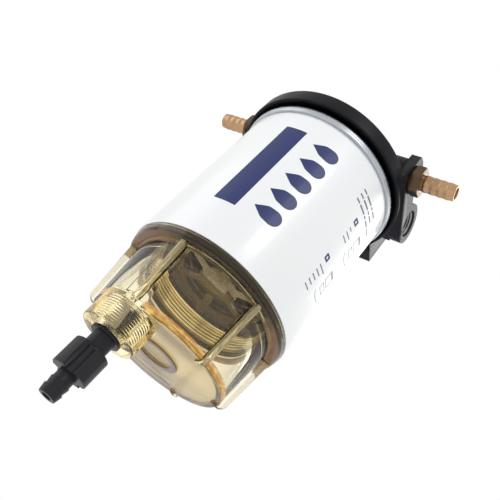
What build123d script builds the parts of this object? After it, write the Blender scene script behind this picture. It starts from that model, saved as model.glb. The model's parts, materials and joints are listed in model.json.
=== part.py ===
# Spin-on fuel filter and water separator with a clear sediment bowl.
# Millimetres. The pieces are drawn on the can's axis, with Z up and the can's
# lower edge at height zero, and are moved at the end so that the origin lies
# midway between the two bolt slots, on the back face of the wall plate.
import math
import os

from build123d import *

# Running clearance of every pair that turns or slides together
run_clear = 0.06
# Gap of a sheet part that is pressed in or stacked against its neighbour
slip = 0.1
# How far a joined form runs into its neighbour, and how far a cut runs past a face
bury = 0.5
past = 1.0

# Can
can_radius = 47.0
can_wall = 0.7
can_height = 100.2
neck_in = 0.4
neck_height = 1.6
plate_sink = 0.7

# Rolled seam and cover on top of the can
seam_stand = 1.55
seam_height = 4.4
seam_edge = 0.9
sheet = 1.0
groove_inset = 4.8
groove_width = 6.4
groove_depth = 3.0
cover_flange = 4.5

# Tapping plate
plate_thickness = 3.0
plate_collar_wall = 4.3
plate_collar_drop = 9.0
plate_collar_corner = 1.2
inlet_hole_radius = 4.5
inlet_hole_count = 8

# Seals
gasket_side_gap = 0.4
gasket_height = 7.4
grommet_wall = 2.5
grommet_height = 6.5
collar_end_gap = 0.8
bowl_gasket_width = 3.6
bowl_gasket_height = 2.6
bowl_gasket_inset = 2.3
bowl_gasket_gap = 0.2

# Filter element
element_gap = 4.7
pleat_gap = 0.3
pleat_count = 44
paper_thickness = 0.7
end_cap_thickness = 1.6
end_cap_corner = 0.9
end_cap_lip = 4.0
centre_tube_radius = 16.0
centre_tube_wall = 0.7
tube_hole_radius = 2.5
tube_hole_rows = 4
tube_holes_round = 6

# Spring and support under the element
spring_wire_radius = 1.3
spring_radius = 26.0
spring_height = 12.0
spring_turns = 2.25
spring_ground = 0.1
support_thickness = 2.0
support_hub_radius = 12.0
support_rim_width = 9.0
support_spoke_width = 5.0
support_window_count = 6
spring_seat_width = 3.0
spring_cup_gap = 0.3
spring_cup_wall = 1.2
spring_cup_height = 1.5

# Threaded ring in the can's lower end
thread_ring_height = 12.0
thread_ring_width = 7.5

# Bowl
flange_gap = 0.4
flange_thickness = 4.6
flange_taper = 1.4
flange_reach = 6.5
flange_root = 0.8
flange_low_edge = 0.7
flange_edge = 0.4
collar_height = 9.6
collar_wall = 3.0
collar_edge = 0.6
bowl_taper = 2.9
bowl_depth = 37.5
bowl_floor = 3.2
bowl_wall_bottom = 3.0
bowl_corner = 3.0
bowl_inner_corner = 2.5
rib_count = 6
rib_start = 30.0
rib_thickness = 2.6
rib_top_stand = 4.4
rib_bottom_stand = 3.2
rib_corner = 4.0
rib_foot = 1.8
rib_foot_reach = 6.5
rib_foot_corner = 1.0
rib_bite = 0.8
bottom_ring_radius = 13.0
bottom_ring_width = 3.8
bottom_ring_height = 0.9

# Neck of the bowl
neck_x = -6.0
neck_inset = 10.6
neck_radius = 14.0
neck_length = 16.7
neck_root = 2.0
neck_edge = 0.8
neck_bore_radius = 7.1

# Drain seat
seat_flange_radius = 7.75
seat_flange_thickness = 1.7
seat_thread_length = 4.5
seat_boss_radius = 5.5
seat_boss_length = 5.7
seat_top_wall = 1.5
seat_hole_radius = 2.6
seat_edge = 0.4
seat_boss_edge = 0.3

# Drain valve
valve_stem_radius = 4.45
valve_waist_radius = 3.6
valve_nose_radius = 2.0
valve_seat_gap = 0.08
valve_land = 0.8
knob_gap = 0.25
knob_length = 15.0
knob_radius = 8.9
knob_lobe_radius = 2.9
knob_core_radius = 7.0
knob_lobe_count = 6
knob_valley = 0.6
knob_edge = 1.1
nozzle_neck_radius = 4.35
nozzle_neck_length = 4.3
nozzle_barb_radius = 4.8
nozzle_tip_radius = 4.15
nozzle_barb_pitch = 3.75
nozzle_barb_count = 2
drain_bore_radius = 2.3
cross_hole_radius = 1.2
oring_radius = 0.58
oring_groove_depth = 1.15
oring_groove_width = 1.5
oring_below_tip = 6.0
oring_squeeze = 0.02

# Head: rim over the can
rim_clear = 0.85
rim_wall = 2.3
skirt_depth = 1.8
rim_height = 9.8
rim_edge = 0.8
land_width = 15.0
recess_height = 3.4
recess_slope = 1.0
nipple_boss_wall = 4.6

# Head: galleries, ports and pads
face_stand = 0.6
port_rise = 13.6
front_port_y = -7.5
port_spacing = 33.0
port_bore_radius = 7.4
port_depth = 14.0
port_chamfer = 0.9
port_end_cone = 2.0
passage_radius = 4.8
gallery_radius = 10.5
cross_gallery_radius = 9.0
cross_gallery_inset = 6.4
pad_length = 5.8
pad_radius = 12.3
front_pad_radius = 13.3
pad_front_reach = 8.9
waist_rise = 3.5
body_front_stand = 1.2
body_front_rise = 4.5
body_front_corner = 1.8
body_rear_reach = 6.0
cross_passage_radius = 4.2
cross_passage_past = 1.5
down_hole_radius = 4.0
down_hole_step = 15.0

# Head: wall plate
wall_gap = 3.0
wall_plate_thickness = 8.0
wall_plate_width = 73.0
wall_plate_height = 48.3
wall_plate_corner = 9.0
foot_drop = 1.8
foot_height = 12.0
foot_relief = 20.0
foot_overlap = 3.0
slot_spacing = 50.0
slot_radius = 4.75
slot_length = 14.0
slot_below_top = 10.0
gusset_thickness = 5.0
gusset_height = 18.0
gusset_run = 14.0
gusset_x = 13.0
gusset_sink = 1.0

# Nipple
nipple_radius = 12.6
nipple_bore_radius = 9.6
nipple_seat = 8.0
nipple_reach = 16.0
nipple_edge = 1.0

# Hose barbs
hex_across_flats = 17.5
hex_thickness = 6.5
hex_stand = 1.2
hex_corner_cut = 0.9
shank_length = 11.0
shank_edge = 1.2
barb_stem_radius = 4.35
barb_radius = 4.95
barb_root_radius = 4.35
barb_tip_radius = 4.35
barb_pitch = 3.6
barb_count = 4
barb_stem_length = 1.4
barb_tip_length = 1.5
barb_tip_edge = 0.4
barb_bore_radius = 3.25

# Heights that follow
plate_top = can_height - plate_sink
cover_base = plate_top
gasket_base = cover_base + sheet
land_z = gasket_base + gasket_height
rim_bottom = land_z - skirt_depth
rim_top = rim_bottom + rim_height
port_z = land_z + port_rise
pad_bottom = port_z - pad_radius
plate_bottom = rim_bottom - foot_drop
plate_head = plate_bottom + wall_plate_height
slot_z = plate_head - slot_below_top
thread_ring_top = thread_ring_height
support_top = thread_ring_top + support_thickness
element_bottom = support_top + spring_height + end_cap_thickness
collar_bottom = plate_top - plate_thickness - plate_collar_drop
element_top = collar_bottom - collar_end_gap - end_cap_thickness
bowl_bottom = -bowl_depth
neck_bottom = bowl_bottom - neck_length
seat_bottom = neck_bottom - seat_flange_thickness - seat_boss_length
knob_top = seat_bottom - knob_gap
knob_bottom = knob_top - knob_length

# Radii and places that follow
seam_radius = can_radius + seam_stand
can_inner = can_radius - can_wall
can_neck_inner = can_inner - neck_in
rim_inner = seam_radius + rim_clear
rim_radius = rim_inner + rim_wall
land_inner = rim_inner - land_width
wall_distance = can_radius + wall_gap
port_face = rim_radius + face_stand
rear_port_y = front_port_y + port_spacing
cross_gallery_x = land_inner - cross_gallery_inset
groove_outer_radius = can_radius - groove_inset
groove_inner_radius = groove_outer_radius - groove_width
cover_inner = groove_inner_radius - sheet - cover_flange
plate_collar_radius = nipple_radius + run_clear + plate_collar_wall
inlet_circle_radius = (plate_collar_radius + cover_inner) / 2
element_radius = can_inner - element_gap - end_cap_thickness
thread_ring_inner = can_inner - thread_ring_width
collar_radius = thread_ring_inner - run_clear
bowl_top_radius = can_radius - flange_reach
bowl_bottom_radius = bowl_top_radius - bowl_taper
bowl_inner_top = collar_radius - collar_wall
bowl_inner_bottom = bowl_bottom_radius - bowl_wall_bottom
bowl_gasket_inner = collar_radius + bowl_gasket_inset
neck_y = neck_inset - bowl_bottom_radius
seat_bore_radius = valve_stem_radius + run_clear


def turned(points, radii=None):
    """A solid of revolution round Z from a closed outline of radius and height."""
    if radii is None:
        outline = Polyline(*points, close=True)
    else:
        outline = FilletPolyline(*points, radius=radii, close=True)
    return revolve(Plane.XZ * make_face(outline), Axis.Z)


def ring(inner, outer, low, high):
    """A plain ring round Z."""
    return turned([(inner, low), (outer, low), (outer, high), (inner, high)])


def rod(radius, low, high):
    """A plain rod along Z."""
    return Pos(0, 0, low) * Cylinder(radius, high - low, align=(Align.CENTER, Align.CENTER, Align.MIN))


def rod_x(radius, start, end, y, z):
    """A plain rod along X."""
    return Pos(start, y, z) * Rot(0, 90, 0) * rod(radius, 0, end - start)


def rod_y(radius, start, end, x, z):
    """A plain rod along Y."""
    return Pos(x, start, z) * Rot(-90, 0, 0) * rod(radius, 0, end - start)


def box(low, high):
    """A block between two corners."""
    size = [b - a for a, b in zip(low, high)]
    return Pos(*low) * Box(*size, align=(Align.MIN, Align.MIN, Align.MIN))


# Head casting
def rim_body():
    """The round rim: skirt, gasket land, recess round the nipple's boss."""
    boss = nipple_radius + nipple_boss_wall
    points = [
        (0, land_z),
        (boss, land_z),
        (boss + recess_slope, land_z + recess_height),
        (land_inner - recess_slope, land_z + recess_height),
        (land_inner, land_z),
        (rim_inner, land_z),
        (rim_inner, rim_bottom),
        (rim_radius, rim_bottom),
        (rim_radius, rim_top),
        (0, rim_top),
    ]
    radii = [0, 0, 0, 0, 0, 0, 0, rim_edge, 2 * rim_edge, 0]
    return turned(points, radii)


def pad_outline():
    """End profile of a port pad in the YZ plane: two round lugs with a waist."""
    rear = Pos(rear_port_y, port_z) * Circle(pad_radius)
    front = Pos(front_port_y, port_z) * Circle(front_pad_radius)
    low = Pos(front_port_y, pad_bottom) * Rectangle(port_spacing, pad_radius + waist_rise, align=(Align.MIN, Align.MIN))
    toe_size = front_pad_radius
    toe = Pos(front_port_y, pad_bottom) * Rectangle(toe_size, pad_radius, align=(Align.MAX, Align.MIN))
    lobes = rear + front + low + toe
    deep = 2 * (front_pad_radius + pad_radius)
    front_cut = Pos(front_port_y - pad_front_reach, port_z) * Rectangle(deep, 2 * deep, align=(Align.MAX, Align.CENTER))
    low_cut = Pos(front_port_y, pad_bottom) * Rectangle(4 * deep, deep, align=(Align.CENTER, Align.MAX))
    return lobes - front_cut - low_cut


def port_pads():
    """The flat pads at both ends of the galleries, which the ports open in."""
    start = port_face - pad_length
    pad = extrude(Plane.YZ.offset(start) * pad_outline(), pad_length)
    return pad + mirror(pad, Plane.YZ)


def gallery_outline():
    """Profile of the body between the pads: round galleries on a flat-fronted block."""
    corner = (Align.MIN, Align.MIN)
    body_front = front_port_y - pad_front_reach - body_front_stand
    block = Pos(body_front, pad_bottom) * Rectangle(
        front_port_y - body_front, pad_radius + body_front_rise, align=corner
    )
    block = fillet(block.vertices().group_by(Axis.X)[0].sort_by(Axis.Y)[-1:], body_front_corner)
    slab = Pos(front_port_y, pad_bottom) * Rectangle(port_spacing + body_rear_reach, pad_radius, align=corner)
    web = Pos(front_port_y, port_z) * Rectangle(port_spacing, waist_rise, align=corner)
    front = Pos(front_port_y, port_z) * Circle(gallery_radius)
    rear = Pos(rear_port_y, port_z) * Circle(gallery_radius)
    return block + slab + web + front + rear


def galleries():
    """Two long galleries along X with the block under them, and the cross galleries."""
    half = port_face - pad_length
    body = extrude(Plane.YZ.offset(-half) * gallery_outline(), 2 * half)
    for side in (-1, 1):
        body += rod_y(cross_gallery_radius, front_port_y, rear_port_y, side * cross_gallery_x, port_z)
    return body


def wall_plate():
    """The flat plate at the back, its foot behind the rim and two gussets."""
    front = wall_distance - wall_plate_thickness
    outline = Pos(0, plate_bottom) * Rectangle(wall_plate_width, wall_plate_height, align=(Align.CENTER, Align.MIN))
    top_corners = outline.vertices().sort_by(Axis.Y)[-2:]
    outline = fillet(top_corners, wall_plate_corner)
    plate = extrude(Plane.XZ.offset(-wall_distance) * outline, wall_plate_thickness)
    half = wall_plate_width / 2
    foot_front = math.sqrt(rim_radius**2 - half**2) - foot_overlap
    foot = box((-half, foot_front, plate_bottom), (half, front, plate_bottom + foot_height))
    foot -= rod(rim_radius - bury, plate_bottom - past, plate_bottom + foot_height + past)
    bridge = box((-half, rear_port_y, pad_bottom), (half, front, port_z))
    for side in (-1, 1):
        middle = side * gusset_x
        points = [
            (front, port_z),
            (front, port_z + gusset_height),
            (front - gusset_run, port_z + gallery_radius - gusset_sink),
            (front - gusset_run, port_z),
        ]
        face = Plane.YZ.offset(middle - gusset_thickness / 2) * make_face(Polyline(*points, close=True))
        plate += extrude(face, gusset_thickness)
    return plate + foot + bridge


def slot_cuts():
    """The two bolt slots."""
    cuts = []
    for side in (-1, 1):
        outline = Pos(side * slot_spacing / 2, slot_z) * SlotOverall(slot_length, 2 * slot_radius)
        cuts.append(extrude(Plane.XZ.offset(-wall_distance - past) * outline, wall_plate_thickness + 2 * past))
    return cuts


def port_cuts():
    """The four tapped ports, with a chamfer at each mouth."""
    cuts = []
    depth = port_face - port_depth
    mouth = port_bore_radius + port_chamfer
    for y in (front_port_y, rear_port_y):
        points = [
            (0, depth - port_end_cone),
            (port_bore_radius - port_end_cone, depth),
            (port_bore_radius, depth),
            (port_bore_radius, port_face - port_chamfer),
            (mouth, port_face),
            (mouth, port_face + past),
            (0, port_face + past),
        ]
        hole = Pos(0, y, port_z) * Rot(0, 90, 0) * turned(points)
        cuts.append(hole)
        cuts.append(mirror(hole, Plane.YZ))
    return cuts


def passage_cuts():
    """Clean fuel runs from the nipple to the right ports, dirty fuel from the left ports down."""
    deep = port_face - port_depth + past
    cross = cross_gallery_x
    near = cross - cross_passage_radius - cross_passage_past
    cuts = [
        rod_x(passage_radius, 0, deep, front_port_y, port_z),
        rod_x(passage_radius, near, deep, rear_port_y, port_z),
        rod_y(cross_passage_radius, front_port_y, rear_port_y, cross, port_z),
        rod_x(passage_radius, -deep, -near, front_port_y, port_z),
        rod_x(passage_radius, -deep, -near, rear_port_y, port_z),
        rod_y(cross_passage_radius, front_port_y, rear_port_y, -cross, port_z),
        rod(nipple_bore_radius, land_z + nipple_seat, port_z),
        rod(nipple_radius, land_z - past, land_z + nipple_seat),
    ]
    for step in (0, 1):
        place = Pos(-cross, front_port_y + step * down_hole_step, 0)
        cuts.append(place * rod(down_hole_radius, land_z, port_z))
    return cuts


def head_casting():
    """The whole head as one casting."""
    body = rim_body() + galleries() + port_pads() + wall_plate()
    behind_y = rim_radius + past
    under = rod(rim_inner, plate_bottom - past, land_z)
    relief = box((-foot_relief, foot_relief, plate_bottom - past), (foot_relief, behind_y, land_z))
    behind = box((-rim_radius, wall_distance, plate_bottom - past), (rim_radius, behind_y, rim_top + past))
    for cut in slot_cuts() + port_cuts() + passage_cuts():
        body -= cut
    return body - under - relief - behind


def centre_nipple():
    """Threaded tube between the head and the can."""
    top = land_z + nipple_seat
    low = land_z - nipple_reach
    points = [
        (nipple_bore_radius, low),
        (nipple_radius - nipple_edge, low),
        (nipple_radius, low + nipple_edge),
        (nipple_radius, top),
        (nipple_bore_radius, top),
    ]
    return turned(points)


def hose_barb():
    """Right-hand hose barb, with its axis on Z and the port's face at height zero."""
    hex_low = hex_stand
    hex_high = hex_low + hex_thickness
    stem_top = hex_high + barb_stem_length
    points = [(barb_bore_radius, -shank_length), (port_bore_radius - shank_edge, -shank_length)]
    points += [(port_bore_radius, shank_edge - shank_length), (port_bore_radius, hex_low + bury)]
    points += [(barb_stem_radius, hex_low + bury), (barb_stem_radius, stem_top)]
    for index in range(barb_count):
        low = stem_top + index * barb_pitch
        points += [(barb_radius, low), (barb_root_radius, low + barb_pitch)]
    end = stem_top + barb_count * barb_pitch + barb_tip_length
    points += [(barb_tip_radius, end - barb_tip_edge), (barb_tip_radius - barb_tip_edge, end), (barb_bore_radius, end)]
    body = turned(points)
    flats = RegularPolygon(hex_across_flats / 2, 6, major_radius=False)
    nut = extrude(Pos(0, 0, hex_low) * flats, hex_thickness)
    corner = hex_across_flats / math.sqrt(3)
    slope = hex_corner_cut * math.tan(math.pi / 6)
    trim = turned([
        (0, hex_low),
        (corner - hex_corner_cut, hex_low),
        (corner, hex_low + slope),
        (corner, hex_high - slope),
        (corner - hex_corner_cut, hex_high),
        (0, hex_high),
    ])
    bore = rod(barb_bore_radius, -shank_length - past, end + past)
    return body + (nut & trim) - bore


def right_hose_barb():
    """Barb in the front right port."""
    return Pos(port_face, front_port_y, port_z) * Rot(0, 90, 0) * hose_barb()


def left_hose_barb():
    """Barb in the front left port."""
    return mirror(right_hose_barb(), Plane.YZ)


# Can and what it holds
def can_shell():
    """Drawn can, open at both ends, necked in under the seam."""
    top = can_height
    shoulder = top - neck_height
    narrow = can_radius - neck_in
    points = [
        (can_inner, 0),
        (can_radius, 0),
        (can_radius, shoulder),
        (narrow, shoulder + neck_height / 2),
        (narrow, top),
        (narrow - can_wall, top),
        (narrow - can_wall, shoulder + neck_height / 2),
        (can_inner, shoulder - can_wall / 3),
    ]
    return turned(points)


def seam_ring():
    """Cover with gasket channel, rolled over the can's edge at the outside."""
    base = cover_base
    top = base + sheet
    wall_top = top + groove_depth
    inner_lip = groove_inner_radius - sheet
    outer_lip = groove_outer_radius + sheet
    roll_inner = can_neck_inner
    roll_low = can_height
    roll_top = roll_low + seam_height
    points = [
        (cover_inner, base),
        (outer_lip, base),
        (outer_lip, wall_top - sheet),
        (roll_inner, wall_top - sheet),
        (roll_inner, roll_low),
        (seam_radius, roll_low),
        (seam_radius, roll_top),
        (roll_inner, roll_top),
        (roll_inner, wall_top),
        (groove_outer_radius, wall_top),
        (groove_outer_radius, top),
        (groove_inner_radius, top),
        (groove_inner_radius, wall_top),
        (inner_lip, wall_top),
        (inner_lip, top),
        (cover_inner, top),
    ]
    radii = [0, 0, 0, 0, 0, seam_edge, seam_edge, seam_edge, 0, 0, 0, 0, 0, 0, 0, 0]
    return turned(points, radii)


def tapping_plate():
    """Thick plate with a threaded collar and a ring of inlet holes."""
    low = plate_top - plate_thickness
    bore = nipple_radius + run_clear
    outer = can_neck_inner - slip
    points = [
        (bore, collar_bottom),
        (plate_collar_radius, collar_bottom),
        (plate_collar_radius, low),
        (outer, low),
        (outer, plate_top),
        (bore, plate_top),
    ]
    plate = turned(points, [0, 0, plate_collar_corner, 0, 0, 0])
    hole = rod(inlet_hole_radius, low - past, plate_top + past)
    for place in PolarLocations(inlet_circle_radius, inlet_hole_count):
        plate -= place * hole
    return plate


def top_gasket():
    """Square rubber ring that seals the can on the head."""
    inner = groove_inner_radius + gasket_side_gap
    outer = groove_outer_radius - gasket_side_gap
    return ring(inner, outer, gasket_base, land_z)


def inner_grommet():
    """Rubber sleeve between the plate's collar and the element's upper cap."""
    low = collar_bottom - collar_end_gap
    return ring(plate_collar_radius, plate_collar_radius + grommet_wall, low, low + grommet_height)


def upper_end_cap():
    """Dished cap on the pleats, with a cup round the grommet."""
    low = element_top
    high = element_top + end_cap_thickness
    cup_inner = plate_collar_radius + grommet_wall
    cup_outer = cup_inner + end_cap_thickness
    lip_outer = element_radius + end_cap_thickness
    points = [
        (centre_tube_radius - centre_tube_wall, low),
        (element_radius, low),
        (element_radius, low - end_cap_lip),
        (lip_outer, low - end_cap_lip),
        (lip_outer, high),
        (cup_outer, high),
        (cup_outer, high + grommet_height - bury),
        (cup_inner, high + grommet_height - bury),
        (cup_inner, high),
        (centre_tube_radius - centre_tube_wall, high),
    ]
    return turned(points, [0, 0, 0, 0, end_cap_corner, 0, 0, 0, 0, 0])


def pleated_element():
    """Pleated paper as one closed star-shaped sleeve."""
    outer = element_radius - slip
    fold = centre_tube_radius + pleat_gap
    step = math.pi / pleat_count
    half_turn = math.atan(outer * math.sin(step) / (outer * math.cos(step) - fold))
    depth = paper_thickness / math.sin(half_turn) / 2
    inner = fold + depth

    def star(shift):
        points = []
        for index in range(2 * pleat_count):
            radius = (outer if index % 2 == 0 else inner) - shift
            angle = index * step
            points.append((radius * math.cos(angle), radius * math.sin(angle)))
        return make_face(Polyline(*points, close=True))

    sleeve = star(0) - star(depth)
    return extrude(Pos(0, 0, element_bottom) * sleeve, element_top - element_bottom)


def centre_tube():
    """Perforated tube inside the pleats."""
    inner = centre_tube_radius - centre_tube_wall
    tube = ring(inner, centre_tube_radius, element_bottom, element_top)
    length = element_top - element_bottom
    reach = centre_tube_radius + past
    for row in range(tube_hole_rows):
        height = element_bottom + length * (row + 0.5) / tube_hole_rows
        for index in range(tube_holes_round // 2):
            turn = 360.0 / tube_holes_round * (index + 0.5 * (row % 2))
            tube -= Rot(0, 0, turn) * rod_x(tube_hole_radius, -reach, reach, 0, height)
    return tube


def lower_end_cap():
    """Closed cap under the pleats."""
    high = element_bottom
    low = element_bottom - end_cap_thickness
    lip_outer = element_radius + end_cap_thickness
    points = [
        (0, low),
        (lip_outer, low),
        (lip_outer, high + end_cap_lip),
        (element_radius, high + end_cap_lip),
        (element_radius, high),
        (0, high),
    ]
    return turned(points, [0, end_cap_corner, 0, 0, 0, 0])


def element_spring():
    """Coil between the support plate and the element, ground flat at both ends."""
    low = support_top
    high = element_bottom - end_cap_thickness
    seat = spring_wire_radius * (1 - spring_ground)
    travel = high - low - 2 * seat
    pitch = travel / spring_turns
    path = Helix(pitch, travel, spring_radius)
    start = Plane(origin=path @ 0, z_dir=path % 0)
    coil = sweep(start * Circle(spring_wire_radius), path=path, is_frenet=True)
    coil = Pos(0, 0, low + seat) * coil
    wide = spring_radius + 2 * spring_wire_radius
    coil -= rod(wide, low - spring_wire_radius, low)
    return coil - rod(wide, high, high + spring_wire_radius)


def support_plate():
    """Spider under the spring: rim, hub, spring cup and spokes."""
    low = thread_ring_top
    outer = can_inner - slip
    half = support_spoke_width / 2
    plate = rod(outer, low, support_top)
    window_outer = outer - support_rim_width
    cup = spring_radius + spring_wire_radius + spring_cup_gap
    windows = ring(support_hub_radius, spring_radius - spring_seat_width, low - past, support_top + past)
    windows += ring(spring_radius + spring_seat_width, window_outer, low - past, support_top + past)
    for index in range(support_window_count):
        turn = 360.0 / support_window_count * index
        spoke = box((0, -half, low - 2 * past), (outer, half, support_top + 2 * past))
        windows -= Rot(0, 0, turn) * spoke
    plate -= windows
    return plate + ring(cup, cup + spring_cup_wall, support_top, support_top + spring_cup_height)


def lower_thread_ring():
    """Threaded steel ring in the can's lower end."""
    points = [
        (thread_ring_inner, 0),
        (can_inner, 0),
        (can_inner, thread_ring_top),
        (thread_ring_inner, thread_ring_top),
    ]
    return turned(points)


# Bowl
def bowl_shell():
    """Flange, threaded collar, tapered wall and flat floor in one turned outline."""
    top = -flange_gap
    groove_low = -bowl_gasket_height
    groove_in = bowl_gasket_inner - bowl_gasket_gap
    groove_out = bowl_gasket_inner + bowl_gasket_width + bowl_gasket_gap
    flange_low = top - flange_thickness
    points = [
        (0, bowl_bottom),
        (bowl_bottom_radius, bowl_bottom),
        (bowl_top_radius, flange_low),
        (can_radius - flange_taper, flange_low),
        (can_radius, top),
        (groove_out, top),
        (groove_out, groove_low),
        (groove_in, groove_low),
        (groove_in, top),
        (collar_radius, top),
        (collar_radius, collar_height),
        (bowl_inner_top, collar_height),
        (bowl_inner_bottom, bowl_bottom + bowl_floor),
        (0, bowl_bottom + bowl_floor),
    ]
    flange_radii = [flange_root, flange_low_edge, flange_edge]
    radii = [0, bowl_corner] + flange_radii + [0, 0, 0, 0, 0, collar_edge, 0, bowl_inner_corner, 0]
    return turned(points, radii)


def bowl_rib():
    """One upright rib in the XZ plane, from the flange down and under the corner."""
    top = -flange_gap - flange_thickness + bury
    low = bowl_bottom - rib_foot
    top_out = bowl_top_radius + rib_top_stand
    low_out = bowl_bottom_radius + rib_bottom_stand
    inner = bowl_inner_bottom + rib_bite
    foot_in = bowl_bottom_radius - rib_foot_reach
    points = [
        (inner + bowl_taper / 2, top),
        (top_out, top),
        (low_out, low),
        (foot_in, low),
        (foot_in - rib_foot, bowl_bottom + rib_bite),
        (inner, bowl_bottom + bowl_floor / 2),
    ]
    outline = FilletPolyline(*points, radius=[0, 0, rib_corner, rib_foot_corner, 0, 0], close=True)
    face = Plane.XZ.offset(-rib_thickness / 2) * make_face(outline)
    return extrude(face, rib_thickness)


def neck_body():
    """The offset neck under the floor."""
    low = neck_bottom
    high = bowl_bottom + neck_root
    points = [(0, low), (neck_radius, low), (neck_radius, high), (0, high)]
    return Pos(neck_x, neck_y, 0) * turned(points, [0, neck_edge, bury, 0])


def bowl():
    """The whole bowl as one clear moulding."""
    body = bowl_shell()
    rib = bowl_rib()
    for index in range(rib_count):
        body += Rot(0, 0, rib_start + 360.0 / rib_count * index) * rib
    body += neck_body()
    ring_inner = bottom_ring_radius - bottom_ring_width
    body += ring(ring_inner, bottom_ring_radius, bowl_bottom - bottom_ring_height, bowl_bottom + bury)
    bore_top = bowl_bottom + bowl_floor + bowl_inner_corner + bury
    bore = Pos(neck_x, neck_y, 0) * rod(neck_bore_radius, neck_bottom - past, bore_top)
    return body - bore


def bowl_gasket():
    """Rubber ring between the bowl's flange and the can's threaded ring."""
    inner = bowl_gasket_inner
    outer = inner + bowl_gasket_width
    return ring(inner, outer, -bowl_gasket_height, 0)


# Drain
def drain_seat():
    """Flanged bushing in the neck that the drain screw turns in."""
    top = neck_bottom + seat_thread_length
    flange_low = neck_bottom - seat_flange_thickness
    thread = neck_bore_radius
    ledge = top - seat_top_wall
    points = [
        (seat_bore_radius, seat_bottom),
        (seat_boss_radius, seat_bottom),
        (seat_boss_radius, flange_low),
        (seat_flange_radius, flange_low),
        (seat_flange_radius, neck_bottom),
        (thread, neck_bottom),
        (thread, top),
        (seat_hole_radius, top),
        (seat_hole_radius, ledge),
        (seat_bore_radius, ledge - (seat_bore_radius - seat_hole_radius)),
    ]
    radii = [0, seat_boss_edge, seat_boss_edge, seat_edge, 0, 0, seat_edge, 0, 0, 0]
    return Pos(neck_x, neck_y, 0) * turned(points, radii)


def valve_tip_z():
    """Height of the drain screw's nose, with its cone just on the seat's cone."""
    ledge = neck_bottom + seat_thread_length - seat_top_wall
    return ledge + seat_hole_radius - valve_nose_radius - valve_seat_gap


def lobed_knob():
    """Six-lobed knob with softened ends."""
    outline = Circle(knob_core_radius)
    for place in PolarLocations(knob_radius - knob_lobe_radius, knob_lobe_count):
        outline += place * Circle(knob_lobe_radius)
    outline = fillet(outline.vertices(), knob_valley)
    bar = extrude(Pos(0, 0, knob_bottom) * outline, knob_length)
    levels = bar.edges().group_by(Axis.Z)
    return chamfer(levels[0] + levels[-1], knob_edge)


def drain_valve():
    """Drain screw: sealing tip, grooved stem, lobed knob and hose nozzle in one moulding."""
    tip = valve_tip_z()
    cone_low = tip - (valve_waist_radius - valve_nose_radius)
    oring_z = tip - oring_below_tip
    groove = valve_stem_radius - oring_groove_depth
    half = oring_groove_width / 2
    land_top = oring_z + half + valve_land
    points = [
        (0, tip),
        (valve_nose_radius, tip),
        (valve_waist_radius, cone_low),
        (valve_waist_radius, land_top),
        (valve_stem_radius, land_top),
        (valve_stem_radius, oring_z + half),
        (groove, oring_z + half),
        (groove, oring_z - half),
        (valve_stem_radius, oring_z - half),
        (valve_stem_radius, knob_top - bury),
        (nozzle_neck_radius, knob_top - bury),
        (nozzle_neck_radius, knob_bottom - nozzle_neck_length),
    ]
    start = knob_bottom - nozzle_neck_length
    for index in range(nozzle_barb_count):
        high = start - index * nozzle_barb_pitch
        points += [(nozzle_barb_radius, high), (nozzle_tip_radius, high - nozzle_barb_pitch)]
    low = start - nozzle_barb_count * nozzle_barb_pitch
    points += [(0, low)]
    stem = turned(points)
    body = stem + lobed_knob()
    cross_z = (cone_low + land_top) / 2
    body -= rod(drain_bore_radius, low - past, cross_z)
    body -= rod_x(cross_hole_radius, -valve_stem_radius, valve_stem_radius, 0, cross_z)
    return Pos(neck_x, neck_y, 0) * body


def drain_oring():
    """Rubber ring in the drain screw's groove."""
    middle = seat_bore_radius - oring_radius - oring_squeeze
    oring_z = valve_tip_z() - oring_below_tip
    return Pos(neck_x, neck_y, oring_z) * Torus(middle, oring_radius)


PIECES = {
    "head_casting": head_casting,
    "centre_nipple": centre_nipple,
    "left_hose_barb": left_hose_barb,
    "right_hose_barb": right_hose_barb,
    "can_shell": can_shell,
    "seam_ring": seam_ring,
    "tapping_plate": tapping_plate,
    "top_gasket": top_gasket,
    "inner_grommet": inner_grommet,
    "upper_end_cap": upper_end_cap,
    "pleated_element": pleated_element,
    "centre_tube": centre_tube,
    "lower_end_cap": lower_end_cap,
    "element_spring": element_spring,
    "support_plate": support_plate,
    "lower_thread_ring": lower_thread_ring,
    "bowl": bowl,
    "bowl_gasket": bowl_gasket,
    "drain_seat": drain_seat,
    "drain_oring": drain_oring,
    "drain_valve": drain_valve,
}


def main():
    """Build every piece and write it in the part's own frame."""
    os.makedirs("parts", exist_ok=True)
    place = Pos(0, -wall_distance, -slot_z)
    for name, make in PIECES.items():
        solid = place * make()
        export_step(solid, f"parts/{name}.step")


main()
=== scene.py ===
"""Spin-on fuel water separator: cast head, printed can, clear ribbed bowl and drain screw.

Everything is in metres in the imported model's own frame. Pieces are drawn in
millimetres on the can's axis, with height zero at the can's lower edge, and are
placed in their meshes, so each finished object stays at the origin.
"""

from __future__ import annotations

import json
import logging
import math
from collections.abc import Iterable, Mapping, Sequence
from dataclasses import dataclass, replace
from enum import Enum
from typing import Any, ClassVar

import bmesh
import bpy
from mathutils import Matrix, Vector

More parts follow.
